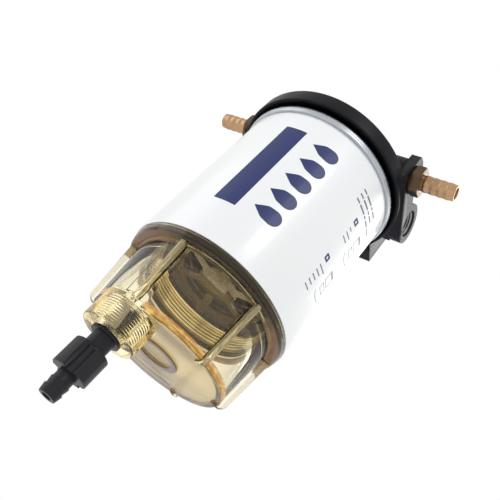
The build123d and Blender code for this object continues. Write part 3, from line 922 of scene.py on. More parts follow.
class Blank:
    """A mesh in millimetres that bmesh operators shape into a piece."""

    def __init__(self, data: bpy.types.Mesh | None = None) -> None:
        """Start a blank.

        Args:
            data: A mesh to start from; empty if left out.
        """
        self.bm = bmesh.new()
        if data:
            self.bm.from_mesh(data)

    def bevel(
        self, parts: Sequence[Any], size: float, kind: str, segments: int, clamp: bool,
    ) -> None:
        """Round corners or edges.

        Args:
            parts: The vertices or edges.
            size: How far the rounding reaches.
            kind: VERTICES or EDGES.
            segments: Steps in the rounding.
            clamp: Whether roundings stop where they would overlap.
        """
        bmesh.ops.bevel(
            self.bm, geom=parts, offset=size, offset_type="OFFSET", affect=kind,
            segments=segments, profile=0.5, material=-1, clamp_overlap=clamp,
        )

    def outline(self, corners: Sequence[Corner], segments: int = 4) -> bmesh.types.BMFace:
        """Draw the blank's first face, in the XZ plane, with rounded corners.

        Args:
            corners: X, Z and rounding radius of each corner.
            segments: Steps in each rounding.

        Returns:
            The face.
        """
        verts = [self.bm.verts.new((x, 0.0, z)) for x, z, _ in corners]
        self.bm.faces.new(verts)
        offsets = []
        for index, (x, z, radius) in enumerate(corners):
            before = Vector(corners[index - 1][:2]) - Vector((x, z))
            after = Vector(corners[(index + 1) % len(corners)][:2]) - Vector((x, z))
            offsets.append(radius / math.tan(before.angle(after) / 2))
        for vert, offset in zip(verts, offsets):
            if offset > TINY:
                self.bevel([vert], offset, "VERTICES", segments, clamp=False)
        return next(iter(self.bm.faces))

    def turned(self, corners: Sequence[Corner], steps: int = 96, segments: int = 4) -> Blank:
        """Turn a closed outline round Z into a solid.

        Args:
            corners: Radius, height and rounding of each corner.
            steps: Divisions round the axis.
            segments: Steps in each rounding.

        Returns:
            This blank.
        """
        face = self.outline(corners, segments)
        edges, verts = list(face.edges), list(face.verts)
        bmesh.ops.delete(self.bm, geom=[face], context="FACES_ONLY")
        on_axis = [e for e in edges if all(abs(v.co.x) < TINY for v in e.verts)]
        if on_axis:
            bmesh.ops.delete(self.bm, geom=on_axis, context="EDGES")
            edges = [e for e in edges if e.is_valid]
            verts = [v for v in verts if v.is_valid]
        bmesh.ops.spin(
            self.bm, geom=verts + edges, cent=(0, 0, 0), axis=(0, 0, 1), dvec=(0, 0, 0),
            angle=FULL_TURN, steps=steps, use_merge=True,
        )
        bmesh.ops.remove_doubles(self.bm, verts=self.bm.verts, dist=TINY)
        return self.outward()

    def rod(self, radius: float, low: float, high: float, steps: int = 72) -> Blank:
        """A round bar on the axis, between two heights."""
        ends = [(0.0, low, 0.0), (radius, low, 0.0), (radius, high, 0.0), (0.0, high, 0.0)]
        return self.turned(ends, steps)

    def bar(self, sides: int, radius: float, length: float, axis: Matrix) -> Blank:
        """Add a bar with flat sides.

        Args:
            sides: Number of sides.
            radius: Distance of its long edges from its axis.
            length: Its length, half to each side.
            axis: Its middle and direction.

        Returns:
            This blank.
        """
        bmesh.ops.create_cone(
            self.bm, cap_ends=True, cap_tris=False, segments=sides,
            radius1=radius, radius2=radius, depth=length, matrix=axis,
        )
        return self

    def plate(
        self, corners: Sequence[Corner], thickness: float, edge: float = 0.0, segments: int = 5,
    ) -> Blank:
        """Make an outline in the XZ plane thick evenly to both sides.

        Args:
            corners: X, Z and rounding of each corner.
            thickness: Along Y.
            edge: Rounding of the long edges.
            segments: Steps in each corner's rounding.

        Returns:
            This blank.
        """
        made = bmesh.ops.extrude_face_region(self.bm, geom=[self.outline(corners, segments)])
        far = [part for part in made["geom"] if isinstance(part, bmesh.types.BMVert)]
        bmesh.ops.translate(self.bm, verts=far, vec=(0, thickness, 0))
        bmesh.ops.translate(self.bm, verts=list(self.bm.verts), vec=(0, -thickness / 2, 0))
        self.outward()
        if edge > 0:
            rims = [e for e in self.bm.edges if abs(e.verts[0].co.y - e.verts[1].co.y) < TINY]
            self.bevel(rims, edge, "EDGES", 2, clamp=True)
        return self

    def cut_off(self, plane: Matrix, rounding: float) -> Blank:
        """Cut away what lies under a plane, close the cut and round its edge.

        Args:
            plane: The plane's frame; its Z points to the side that stays.
            rounding: Size of the rounding.

        Returns:
            This blank.
        """
        whole = list(self.bm.verts) + list(self.bm.edges) + list(self.bm.faces)
        cut = bmesh.ops.bisect_plane(
            self.bm, geom=whole, dist=TINY, plane_co=plane.translation,
            plane_no=plane.to_3x3() @ Vector((0, 0, 1)), clear_inner=True,
        )
        rim = [part for part in cut["geom_cut"] if isinstance(part, bmesh.types.BMEdge)]
        bmesh.ops.edgeloop_fill(self.bm, edges=rim)
        self.outward()
        self.bevel(rim, rounding, "EDGES", 5, clamp=False)
        return self

    def outward(self) -> Blank:
        """Turn all faces outwards."""
        bmesh.ops.recalc_face_normals(self.bm, faces=self.bm.faces)
        return self

    def move(self, matrix: Matrix) -> Blank:
        """Move or turn the whole mesh."""
        bmesh.ops.transform(self.bm, matrix=matrix, verts=self.bm.verts)
        return self

    def sort(self) -> None:
        """Order the mesh by place, because a boolean's order differs from run to run."""
        self.bm.verts.sort(key=lambda vert: vert.co.dot(SKEW))
        self.bm.edges.sort(key=lambda edge: (edge.verts[0].co + edge.verts[1].co).dot(SKEW))
        self.bm.faces.sort(key=lambda face: face.calc_center_median().dot(SKEW))

    def mesh(self) -> bpy.types.Mesh:
        """Hand the mesh over and free the blank.

        Returns:
            The mesh.
        """
        data = bpy.data.meshes.new("blank")
        self.bm.to_mesh(data)
        self.bm.free()
        return data

    def thing(self, name: str) -> bpy.types.Object:
        """Put the mesh into the scene.

        Args:
            name: The object's name.

        Returns:
            The object, still in millimetres.
        """
        made = bpy.data.objects.new(name, self.mesh())
        made.data.name = name
        bpy.context.scene.collection.objects.link(made)
        return made


class Join(Enum):
    """How a boolean joins a tool to a piece."""

    ADD = "UNION"
    CUT = "DIFFERENCE"
    KEEP = "INTERSECT"


def combine(base: Blank, steps: Sequence[tuple[Join, Blank]]) -> Blank:
    """Join tools to a piece one after another.

    Args:
        base: The first piece.
        steps: How each tool is joined, and the tool.

    Returns:
        The result, closed and merged.
    """
    held = base.thing("base")
    used = [held]
    for how, tool in steps:
        modifier = held.modifiers.new("join", "BOOLEAN")
        modifier.operation = how.value
        modifier.solver = "EXACT"
        modifier.object = tool.thing("tool")
        used.append(modifier.object)
    graph = bpy.context.evaluated_depsgraph_get()
    data = bpy.data.meshes.new_from_object(held.evaluated_get(graph))
    for gone in used:
        old = gone.data
        bpy.data.objects.remove(gone)
        bpy.data.meshes.remove(old)
    result = Blank(data)
    bpy.data.meshes.remove(data)
    result.sort()
    bmesh.ops.remove_doubles(result.bm, verts=result.bm.verts, dist=TINY)
    result.sort()
    bmesh.ops.dissolve_degenerate(result.bm, edges=result.bm.edges, dist=TINY)
    return result


# Sub-assemblies


@dataclass
class Assembly:
    """Common work of each sub-assembly: placing, dressing and reporting its pieces."""

    datum: Datum
    frame: Mapping[str, Any]
    body: ClassVar[str] = "head"

    def build(self) -> None:
        """Make and dress the pieces."""
        raise NotImplementedError

    def keep(
        self,
        name: str,
        blank: Blank,
        finish: Finish,
        nodes: Sequence[str] = (),
        smooth: float = 34.0,
        body: str | None = None,
        placed: bool = False,
    ) -> None:
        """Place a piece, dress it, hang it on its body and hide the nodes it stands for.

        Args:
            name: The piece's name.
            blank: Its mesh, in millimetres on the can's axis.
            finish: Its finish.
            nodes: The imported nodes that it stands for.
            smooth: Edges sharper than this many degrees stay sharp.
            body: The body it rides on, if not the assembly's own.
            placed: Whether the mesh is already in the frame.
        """
        piece = blank.thing(name)
        if not placed:
            piece.data.transform(self.datum.matrix())
        piece.data.materials.append(finish.material())
        faces = piece.data.polygons
        faces.foreach_set("use_smooth", [True] * len(faces))
        piece.data.set_sharp_from_angle(angle=math.radians(smooth))
        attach(piece, body or self.body)
        if nodes:
            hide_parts(*nodes)
        LOG.info("%s: %d faces, %s", piece.name, len(faces), finish.name)

    def copy_node(self, node: str, name: str, finish: Finish, **words: Any) -> None:
        """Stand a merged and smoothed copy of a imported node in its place.

        Args:
            node: The node's name.
            name: The copy's name.
            finish: Its finish.
            words: Passed on to keep.
        """
        source = self.frame["nodes"][node]
        blank = Blank(source.data).move(source.matrix_world)
        bmesh.ops.remove_doubles(blank.bm, verts=blank.bm.verts, dist=TINY_PACKED)
        self.keep(name, blank, finish, [node], placed=True, **words)


@dataclass
class Head(Assembly):
    """The cast head, its nipple and the threads of its open ports."""

    rear_y: float = 25.5
    thread_depth: float = 0.75
    thread_pitch: float = 1.41
    thread_length: float = 12.6
    thread_inset: float = 1.2
    thread_wall: float = 0.06
    thread_land: float = 0.1
    crest_soft: float = 0.12

    def build(self) -> None:
        """Make and dress the head's pieces."""
        self.copy_node("head_casting", "head_body", CastPaint(), smooth=25.0)
        self.copy_node("centre_nipple", "head_nipple", ZincSteel())
        for side, name in ((1, "right"), (-1, "left")):
            self.keep(f"head_port_thread_{name}", self.port_thread(side), BareCast())

    def port_thread(self, side: int) -> Blank:
        """Make the machined thread that lines an open rear port.

        Args:
            side: 1 for the right port and -1 for the left.

        Returns:
            The thread.
        """
        bore = LAYOUT.port_radius
        start = LAYOUT.port_face - self.thread_inset
        corners: list[Corner] = [(bore, start - self.thread_length, 0.0), (bore, start, 0.0)]
        turns = int(self.thread_length / self.thread_pitch)
        root = bore - self.thread_wall
        for index in range(turns):
            high = start - index * self.thread_pitch
            corners.append((root, high - self.thread_land, 0.0))
            middle = high - self.thread_pitch / 2
            corners.append((bore - self.thread_depth, middle, self.crest_soft))
        corners.append((root, start - turns * self.thread_pitch, 0.0))
        thread = Blank().turned(corners, steps=64, segments=2)
        return thread.move(LAYOUT.port(side, self.rear_y))


@dataclass
class HoseBarbs(Assembly):
    """The two brass hose barbs."""

    front_y: float = -7.5
    bore_radius: float = 3.25
    shank_length: float = 11.0
    shank_lead: float = 1.2
    hex_flats: float = 15.2
    hex_low: float = 0.8
    hex_height: float = 5.2
    hex_edge: float = 0.9
    hex_hair: float = 0.01
    stem_radius: float = 4.55
    stem_length: float = 1.0
    barb_radius: float = 4.95
    barb_pitch: float = 4.1
    barb_count: int = 4
    barb_rise: float = 1.5
    barb_soft: float = 3.0
    tip_length: float = 1.6

    def build(self) -> None:
        """Make both barbs."""
        for side, name in ((1, "right"), (-1, "left")):
            piece = combine(self.stem(), [(Join.ADD, self.hexagon())])
            piece.move(LAYOUT.port(side, self.front_y, LAYOUT.port_face))
            self.keep(f"hose_barb_{name}", piece, Brass(), [f"{name}_hose_barb"], smooth=28.0)

    def stem(self) -> Blank:
        """Turn the shank, stem and barbs.

        Returns:
            The bored stem, with height zero at the port's face.
        """
        shank = LAYOUT.port_radius
        inside_hex = self.hex_low + OVERLAP
        foot = self.hex_low + self.hex_height + self.stem_length
        corners: list[Corner] = [
            (self.bore_radius, -self.shank_length, 0.3),
            (shank - self.shank_lead, -self.shank_length, 0.2),
            (shank, self.shank_lead - self.shank_length, 0.2),
            (shank, inside_hex, 0.0),
            (self.stem_radius, inside_hex, 0.0),
        ]
        for index in range(self.barb_count):
            low = foot + index * self.barb_pitch
            corners.append((self.stem_radius, low, self.barb_soft))
            corners.append((self.barb_radius, low + self.barb_rise, self.barb_soft))
        tip = foot + self.barb_count * self.barb_pitch
        corners += [
            (self.stem_radius, tip, 0.4),
            (self.stem_radius, tip + self.tip_length, 0.3),
            (self.bore_radius, tip + self.tip_length, 0.3),
        ]
        return Blank().turned(corners, steps=72)

    def hexagon(self) -> Blank:
        """Cut a hexagon from bar, with chamfered corners and the bore.

        Returns:
            The hexagon.
        """
        low, high = self.hex_low, self.hex_low + self.hex_height
        corner = self.hex_flats / math.sqrt(3)
        flat = corner - self.hex_edge
        slope = self.hex_edge * math.tan(math.pi / 6)
        turn = Matrix.Rotation(math.pi / 6, 4, "Z")
        middle = Matrix.Translation((0, 0, low + self.hex_height / 2)) @ turn
        nut = Blank().bar(6, corner, self.hex_height, middle)
        trim = Blank().turned([
            (0.0, low - self.hex_hair, 0.0),
            (flat, low - self.hex_hair, 0.0),
            (corner + 2 * self.hex_hair, low + slope, 0.0),
            (corner + 2 * self.hex_hair, high - slope, 0.0),
            (flat, high + self.hex_hair, 0.0),
            (0.0, high + self.hex_hair, 0.0),
        ])
        bore = Blank().rod(self.bore_radius, low - CLEAR, high + CLEAR)
        return combine(nut, [(Join.KEEP, trim), (Join.CUT, bore)])


@dataclass
class Can(Assembly):
    """The drawn can with its rolled seam, and the sealed pieces inside it."""

    body: ClassVar[str] = "can"
    wall: float = 0.7
    height: float = 100.2
    neck_in: float = 0.4
    neck_height: float = 1.6
    seam_radius: float = 48.55
    seam_height: float = 4.4
    foot_in: float = 0.35
    lip_in: float = 0.05
    lip_low: float = 0.15
    fold: float = 1.5
    fold_in: float = 0.4
    fold_rise: float = 0.25
    sheet: float = 1.0
    lap: float = 0.7
    cover_rise: float = 3.0
    cover_bore: float = 30.3
    cover_radius: float = 43.2
    groove_in: float = 35.8

    def build(self) -> None:
        """Make the can and the seam, and dress the pieces inside."""
        self.keep("can_body", self.shell(), CanEnamel(), ["can_shell"])
        self.keep("can_seam", self.seam(), ZincSteel(), ["seam_ring"])
        inner: list[tuple[str, Finish]] = [
            ("tapping_plate", ZincSteel()),
            ("inner_grommet", Rubber()),
            ("upper_end_cap", BlackPlastic()),
            ("pleated_element", FilterPaper()),
            ("centre_tube", ZincSteel()),
            ("lower_end_cap", BlackPlastic()),
            ("element_spring", SpringSteel()),
            ("support_plate", WetPlastic()),
            ("lower_thread_ring", ThreadedSteel()),
        ]
        for node, finish in inner:
            self.copy_node(node, f"{node}_dressed", finish)
        self.copy_node("top_gasket", "top_gasket_dressed", Rubber(), body="can_seal")

    def shell(self) -> Blank:
        """Turn the white can.

        Returns:
            The can.
        """
        outside = LAYOUT.can_radius
        inside = outside - self.wall
        top = self.height
        shoulder = top - self.neck_height
        bend = shoulder + self.neck_height / 2
        narrow = outside - self.neck_in
        return Blank().turned([
            (inside, 0.0, 0.2),
            (outside, 0.0, 0.25),
            (outside, shoulder, 0.8),
            (narrow, bend, 0.6),
            (narrow, top, 0.0),
            (narrow - self.wall, top, 0.0),
            (narrow - self.wall, bend, 0.0),
            (inside, shoulder - self.wall / 3, 0.0),
        ], steps=192)

    def seam(self) -> Blank:
        """Turn the rolled seam and cover, with the line where the sheet folds over.

        Returns:
            The seam.
        """
        base = self.height - self.lap
        top = base + self.sheet
        wall_top = top + self.cover_rise
        roll = LAYOUT.can_radius - self.neck_in - self.wall
        low = self.height
        high = low + self.seam_height
        fold = low + self.fold
        outside = self.seam_radius
        cover, groove = self.cover_radius, self.groove_in
        return Blank().turned([
            (self.cover_bore, base, 0.2),
            (cover, base, 0.5),
            (cover, wall_top - self.sheet, 0.3),
            (roll, wall_top - self.sheet, 0.0),
            (roll, low, 0.0),
            (outside - self.foot_in, low, 0.5),
            (outside - self.lip_in, fold - self.lip_low, 0.2),
            (outside - self.fold_in, fold, 0.05),
            (outside, fold + self.fold_rise, 0.25),
            (outside, high, 1.1),
            (roll, high, 0.7),
            (roll, wall_top, 0.3),
            (cover - self.sheet, wall_top, 0.4),
            (cover - self.sheet, top, 0.3),
            (groove, top, 0.3),
            (groove, wall_top, 0.4),
            (groove - self.sheet, wall_top, 0.4),
            (groove - self.sheet, top, 0.4),
            (self.cover_bore, top, 0.2),
        ], steps=192, segments=3)


class MarkShape(Enum):
    """Shapes of the plain marks printed on the can."""

    BAR = "bar"
    DROP = "drop"
    FRAME = "frame"
    SWEEP = "sweep"


@dataclass(frozen=True)
class Mark:
    """One printed mark.

    around is its middle in degrees round the can from +X, and up its middle over
    the can's lower edge. The rest is in millimetres.
    """

    shape: MarkShape
    around: float
    up: float
    width: float
    height: float
    line: float = 0.5

    def box(self, soft: float) -> list[Corner]:
        """List its four corners.

        Args:
            soft: Their rounding.

        Returns:
            The corners.
        """
        half_w, half_h = self.width / 2, self.height / 2
        signs = ((-1, -1), (1, -1), (1, 1), (-1, 1))
        return [(half_w * across, half_h * rise, soft) for across, rise in signs]

    def drop(self) -> list[Corner]:
        """Outline a drop that lies on its side, with its tip at the left.

        Returns:
            Its corners.
        """
        half_w, half_h = self.width / 2, self.height / 2
        belly = 0.98 * half_h
        neck = (half_w - 2 * belly, 0.86 * belly, 0.9 * belly)
        end = (half_w, 1.06 * belly, 0.98 * belly)
        return [
            (-half_w, 0.0, 0.25),
            (neck[0], -neck[1], neck[2]),
            (end[0], -end[1], end[2]),
            end,
            neck,
        ]

    def sweep(self, steps: int = 10) -> list[Corner]:
        """Outline a shallow bow.

        Args:
            steps: Straight pieces along it.

        Returns:
            Its corners.
        """
        half_w, half_h = self.width / 2, self.height / 2
        shares = [index / steps for index in range(steps + 1)]
        lower = [(self.width * s - half_w, -half_h * math.sin(math.pi * s), 0.0) for s in shares]
        return lower + [(x, z + self.line, 0.0) for x, z, _ in reversed(lower)]

    def draw(self) -> Blank:
        """Draw the mark flat, round its own middle.

        Returns:
            One face or, for a frame, a ring of faces.
        """
        blank = Blank()
        match self.shape:
            case MarkShape.BAR:
                blank.outline(self.box(min(0.4, 0.3 * min(self.width, self.height))), 3)
            case MarkShape.DROP:
                blank.outline(self.drop(), 8)
            case MarkShape.SWEEP:
                blank.outline(self.sweep(), 1)
            case MarkShape.FRAME:
                face = blank.outline(self.box(0.3), 3)
                bmesh.ops.inset_region(
                    blank.bm, faces=[face], thickness=self.line,
                    use_boundary=True, use_even_offset=True,
                )
                bmesh.ops.delete(blank.bm, geom=[face], context="FACES_ONLY")
        return blank


@dataclass
class CanPrint(Assembly):
    """Plain marks where such cans carry their print.

    around values are in degrees from +X, and the rest is in millimetres.
    """

    body: ClassVar[str] = "can"
    stand: float = 0.015
    thickness: float = 0.03
    strip: float = 2.0
    band: Mark = Mark(MarkShape.BAR, -88.0, 54.8, 12.2, 63.4)
    drop: Mark = Mark(MarkShape.DROP, -63.2, 29.5, 15.4, 9.6)
    drop_count: int = 5
    drop_pitch: float = 12.95
    square: Mark = Mark(MarkShape.FRAME, -17.3, 0.0, 3.4, 3.9, 1.15)
    squares: tuple[float, ...] = (41.7, 70.3)
    picture: tuple[Mark, ...] = (
        Mark(MarkShape.FRAME, -2.0, 15.0, 6.0, 7.2, 0.4),
        Mark(MarkShape.FRAME, -2.0, 8.2, 5.4, 4.0, 0.4),
        Mark(MarkShape.BAR, -2.0, 17.6, 4.8, 1.0),
        Mark(MarkShape.SWEEP, -2.0, 2.6, 9.0, 2.6),
    )
    pictures: tuple[float, ...] = (24.4, 52.4)
    words_around: float = -29.0
    word_height: float = 1.0
    word_step: float = 0.2
    notes_around: float = -18.6
    note_height: float = 0.8
    words: tuple[tuple[float, float], ...] = ((86.0, 25.0), (82.2, 23.0), (78.2, 26.0))
    word_lengths: tuple[float, ...] = (3.4, 6.2, 2.2, 4.6, 5.4, 3.0, 4.0)
    word_gap: float = 0.9
    notes: tuple[tuple[float, float], ...] = (
        (64.6, 2.6), (61.2, 5.2), (57.8, 4.8),
        (35.6, 6.4), (32.2, 4.8), (28.8, 4.4), (25.4, 4.2), (22.0, 4.6),
    )

    def build(self) -> None:
        """Make the navy and the grey print."""
        self.keep("can_print_navy", self.skin(self.navy()), NavyInk(), smooth=40.0)
        self.keep("can_print_grey", self.skin(self.fine()), GreyInk(), smooth=40.0)

    def arc(self, length: float) -> float:
        """The degrees round the can that a length takes."""
        return math.degrees(length / LAYOUT.can_radius)

    def navy(self) -> list[Mark]:
        """List the band, the drops and the small squares.

        Returns:
            The marks.
        """
        ups = [self.drop.up + index * self.drop_pitch for index in range(self.drop_count)]
        drops = [replace(self.drop, up=up) for up in ups]
        return [self.band, *drops, *(replace(self.square, up=up) for up in self.squares)]

    def fine(self) -> list[Mark]:
        """List the rows of short bars and the plain frames.

        Returns:
            The marks.
        """
        marks = []
        for up, reach in self.words:
            marks += self.row(up, reach)
        for up, reach in self.notes:
            around = self.notes_around + self.arc(reach / 2)
            marks.append(Mark(MarkShape.BAR, around, up, reach, self.note_height))
        for low in self.pictures:
            marks += [replace(mark, up=low + mark.up) for mark in self.picture]
        return marks

    def row(self, up: float, reach: float) -> list[Mark]:
        """List short bars that stand for a line of small print.

        Args:
            up: The line's height.
            reach: The length it may take.

        Returns:
            The marks.
        """
        marks = []
        start = 0.0
        for index, length in enumerate(self.word_lengths):
            if start + length > reach:
                break
            around = self.words_around + self.arc(start + length / 2)
            height = self.word_height + self.word_step * (index % 2)
            marks.append(Mark(MarkShape.BAR, around, up, length, height))
            start += length + self.word_gap
        return marks

    def skin(self, marks: Iterable[Mark]) -> Blank:
        """Lay all marks of one ink as one thin closed skin on the can.

        Args:
            marks: The marks.

        Returns:
            The skin.
        """
        flat = Blank()
        for mark in marks:
            middle = math.radians(mark.around) * LAYOUT.can_radius
            data = mark.draw().move(Matrix.Translation((middle, 0, mark.up))).mesh()
            flat.bm.from_mesh(data)
            bpy.data.meshes.remove(data)
        return self.wrap(flat)

    def wrap(self, flat: Blank) -> Blank:
        """Cut flat marks into strips, give them thickness and roll them round the can.

        Args:
            flat: The marks, with arc length along X and height along Z.

        Returns:
            The same blank, rolled.
        """
        bm = flat.bm
        low = min(vert.co.x for vert in bm.verts)
        high = max(vert.co.x for vert in bm.verts)
        strip = LAYOUT.can_radius * math.radians(self.strip)
        for index in range(1, int((high - low) / strip) + 1):
            whole = list(bm.verts) + list(bm.edges) + list(bm.faces)
            bmesh.ops.bisect_plane(
                bm, geom=whole, dist=TINY, plane_co=(low + index * strip, 0, 0), plane_no=(1, 0, 0),
            )
        bmesh.ops.triangulate(bm, faces=[face for face in bm.faces if len(face.verts) > 4])
        made = bmesh.ops.extrude_face_region(bm, geom=list(bm.faces))
        outer = {part for part in made["geom"] if isinstance(part, bmesh.types.BMVert)}
        for vert in bm.verts:
            lift = self.stand + (self.thickness if vert in outer else 0.0)
            radius = LAYOUT.can_radius + lift
            angle = vert.co.x / LAYOUT.can_radius
            vert.co = Vector((radius * math.cos(angle), radius * math.sin(angle), vert.co.z))
        return flat.outward()


@dataclass
class Bowl(Assembly):
    """The clear bowl with its ribs, threaded collar and offset neck."""

    body: ClassVar[str] = "bowl"
    flange_gap: float = 0.4
    flange_thickness: float = 4.6
    flange_taper: float = 1.4
    top_radius: float = 40.5
    bottom_radius: float = 37.3
    depth: float = 38.5
    floor: float = 3.2
    floor_slope: float = 3.3
    floor_turn: float = -80.0
    wall: float = 3.0
    corner: float = 0.7
    inner_corner: float = 0.5
    collar_height: float = 9.6
    collar_wall: float = 3.0
    collar_thread: Thread = Thread(38.54, 38.74, 2.0, rise=0.65, land=0.3, root_soft=0.1)
    collar_lead: float = 0.9
    mouth_low: float = 0.6
    mouth_out: float = 0.4
    mouth_rise: float = 0.1
    groove_in: float = 40.84
    groove_out: float = 44.84
    groove_low: float = -2.6
    rib_count: int = 6
    rib_start: float = 30.0
    rib_thickness: float = 2.6
    rib_top_stand: float = 4.4
    rib_bottom_stand: float = 3.5
    rib_corner: float = 4.0
    rib_foot: float = 1.0
    rib_foot_reach: float = 3.2
    rib_foot_rise: float = 0.8
    rib_root: float = 0.8
    rib_lean: float = 1.6
    rib_edge: float = 0.35
    ring_outer: float = 13.0
    ring_inner: float = 9.2
    ring_height: float = 0.9
    neck_radius: float = 14.0
    neck_mouth: float = 8.1
    neck_chamfer: float = 0.6
    neck_lead: float = 1.2
    neck_stop: float = 0.5
    neck_thread: Thread = Thread(7.13, 7.35, 1.27, rise=0.45, land=0.15, root_soft=0.0)

    def build(self) -> None:
        """Make the bowl and dress its gasket."""
        self.keep("bowl_clear", self.moulding(), ClearAmber(), ["bowl"], smooth=24.0)
        self.copy_node("bowl_gasket", "bowl_gasket_dressed", Rubber(), body="bowl_seal")

    def on_floor(self, rise: float = 0.0) -> Matrix:
        """Find the frame of the sloping floor on the can's axis.

        Args:
            rise: How far it is lifted.

        Returns:
            The frame, whose Z stands on the floor.
        """
        turn = Matrix.Rotation(math.radians(self.floor_turn), 4, "Z")
        tilt = Matrix.Rotation(math.radians(self.floor_slope), 4, "Y")
        return Matrix.Translation((0, 0, rise - self.depth)) @ turn @ tilt

    def outside(self) -> Blank:
        """Make the flange, threaded collar and tapered wall as one solid.

        Returns:
            The solid, down to the sloping floor.
        """
        top = -self.flange_gap
        low = top - self.flange_thickness
        beneath = -self.depth - self.floor
        root = self.collar_thread.root
        corners: list[Corner] = [
            (0.0, beneath, 0.0),
            (self.bottom_radius, beneath, 0.0),
            (self.top_radius, low, 0.8),
            (LAYOUT.can_radius - self.flange_taper, low, 0.7),
            (LAYOUT.can_radius, top, 0.4),
            (self.groove_out, top, 0.15),
            (self.groove_out, self.groove_low, 0.15),
            (self.groove_in, self.groove_low, 0.15),
            (self.groove_in, top, 0.15),
            (root, top, 0.1),
        ]
        corners += self.collar_thread.ridges(top + self.collar_lead, self.collar_height)
        corners += [(root, self.collar_height, 0.5), (0.0, self.collar_height, 0.0)]
        return Blank().turned(corners, steps=144).cut_off(self.on_floor(), self.corner)

    def inside(self) -> Blank:
        """Make the room inside as a cutting tool.

        Returns:
            The tool, down to the sloping floor.
        """
        above = self.collar_height + CLEAR
        inner = self.collar_thread.crest - self.collar_wall
        room = Blank().turned([
            (0.0, -self.depth, 0.0),
            (self.bottom_radius - self.wall, -self.depth, 0.0),
            (inner, self.collar_height - self.mouth_low, 0.0),
            (inner + self.mouth_out, self.collar_height + self.mouth_rise, 0.0),
            (inner + self.mouth_out, above, 0.0),
            (0.0, above, 0.0),
        ], steps=144)
        return room.cut_off(self.on_floor(self.floor), self.inner_corner)

    def rib(self, turn: float) -> Blank:
        """Make one upright rib, whose foot follows the sloping floor.

        Args:
            turn: Its place in degrees round the axis from +X.

        Returns:
            The rib.
        """
        slope = math.tan(math.radians(self.floor_slope))
        fall = math.cos(math.radians(turn - self.floor_turn)) * slope
        bottom = -self.depth - self.bottom_radius * fall
        top = -self.flange_gap - self.flange_thickness + OVERLAP
        low = bottom - self.rib_foot
        inner = self.bottom_radius - self.wall + self.rib_root
        foot = self.bottom_radius - self.rib_foot_reach
        rib = Blank().plate([
            (inner + self.rib_lean, top, 0.0),
            (self.top_radius + self.rib_top_stand, top, 0.0),
            (self.bottom_radius + self.rib_bottom_stand, low, self.rib_corner),
            (foot, low, 0.8),
            (foot - self.rib_foot, bottom + self.rib_foot_rise, 0.0),
            (inner, bottom + self.floor / 2, 0.0),
        ], self.rib_thickness, self.rib_edge, segments=6)
        return rib.move(Matrix.Rotation(math.radians(turn), 4, "Z"))

    def ring(self) -> Blank:
        """Make the ring moulded under the floor.

        Returns:
            The ring.
        """
        ring = Blank().turned([
            (self.ring_inner, -self.ring_height, 0.3),
            (self.ring_outer, -self.ring_height, 0.3),
            (self.ring_outer, OVERLAP, 0.0),
            (self.ring_inner, OVERLAP, 0.0),
        ])
        return ring.move(self.on_floor())

    def neck(self) -> Blank:
        """Make the neck under the floor.

        Returns:
            The neck, still without its bore.
        """
        end, top = LAYOUT.neck_end, OVERLAP - self.depth
        neck = Blank().turned([
            (0.0, end, 0.0),
            (self.neck_radius, end, 0.8),
            (self.neck_radius, top, 0.5),
            (0.0, top, 0.0),
        ])
        return neck.move(LAYOUT.drain())

    def neck_tap(self) -> Blank:
        """Make the threaded bore of the neck as a cutting tool.

        Returns:
            The tool.
        """
        end = LAYOUT.neck_end
        top = -self.depth + self.floor + self.inner_corner + OVERLAP
        root = self.neck_thread.root
        corners: list[Corner] = [
            (0.0, end - CLEAR, 0.0),
            (self.neck_mouth, end - CLEAR, 0.0),
            (root, end + self.neck_chamfer, 0.0),
        ]
        corners += self.neck_thread.ridges(end + self.neck_lead, -self.depth - self.neck_stop)
        corners += [(root, top, 0.0), (0.0, top, 0.0)]
        return Blank().turned(corners, segments=2).move(LAYOUT.drain())

    def moulding(self) -> Blank:
        """Join the whole bowl.

        Returns:
            The bowl as one closed mesh.
        """
        pitch = 360.0 / self.rib_count
        turns = [self.rib_start + pitch * index for index in range(self.rib_count)]
        steps = [(Join.ADD, self.rib(turn)) for turn in turns]
        steps += [(Join.ADD, self.ring()), (Join.ADD, self.neck())]
        steps += [(Join.CUT, self.inside()), (Join.CUT, self.neck_tap())]
        return combine(self.outside(), steps)


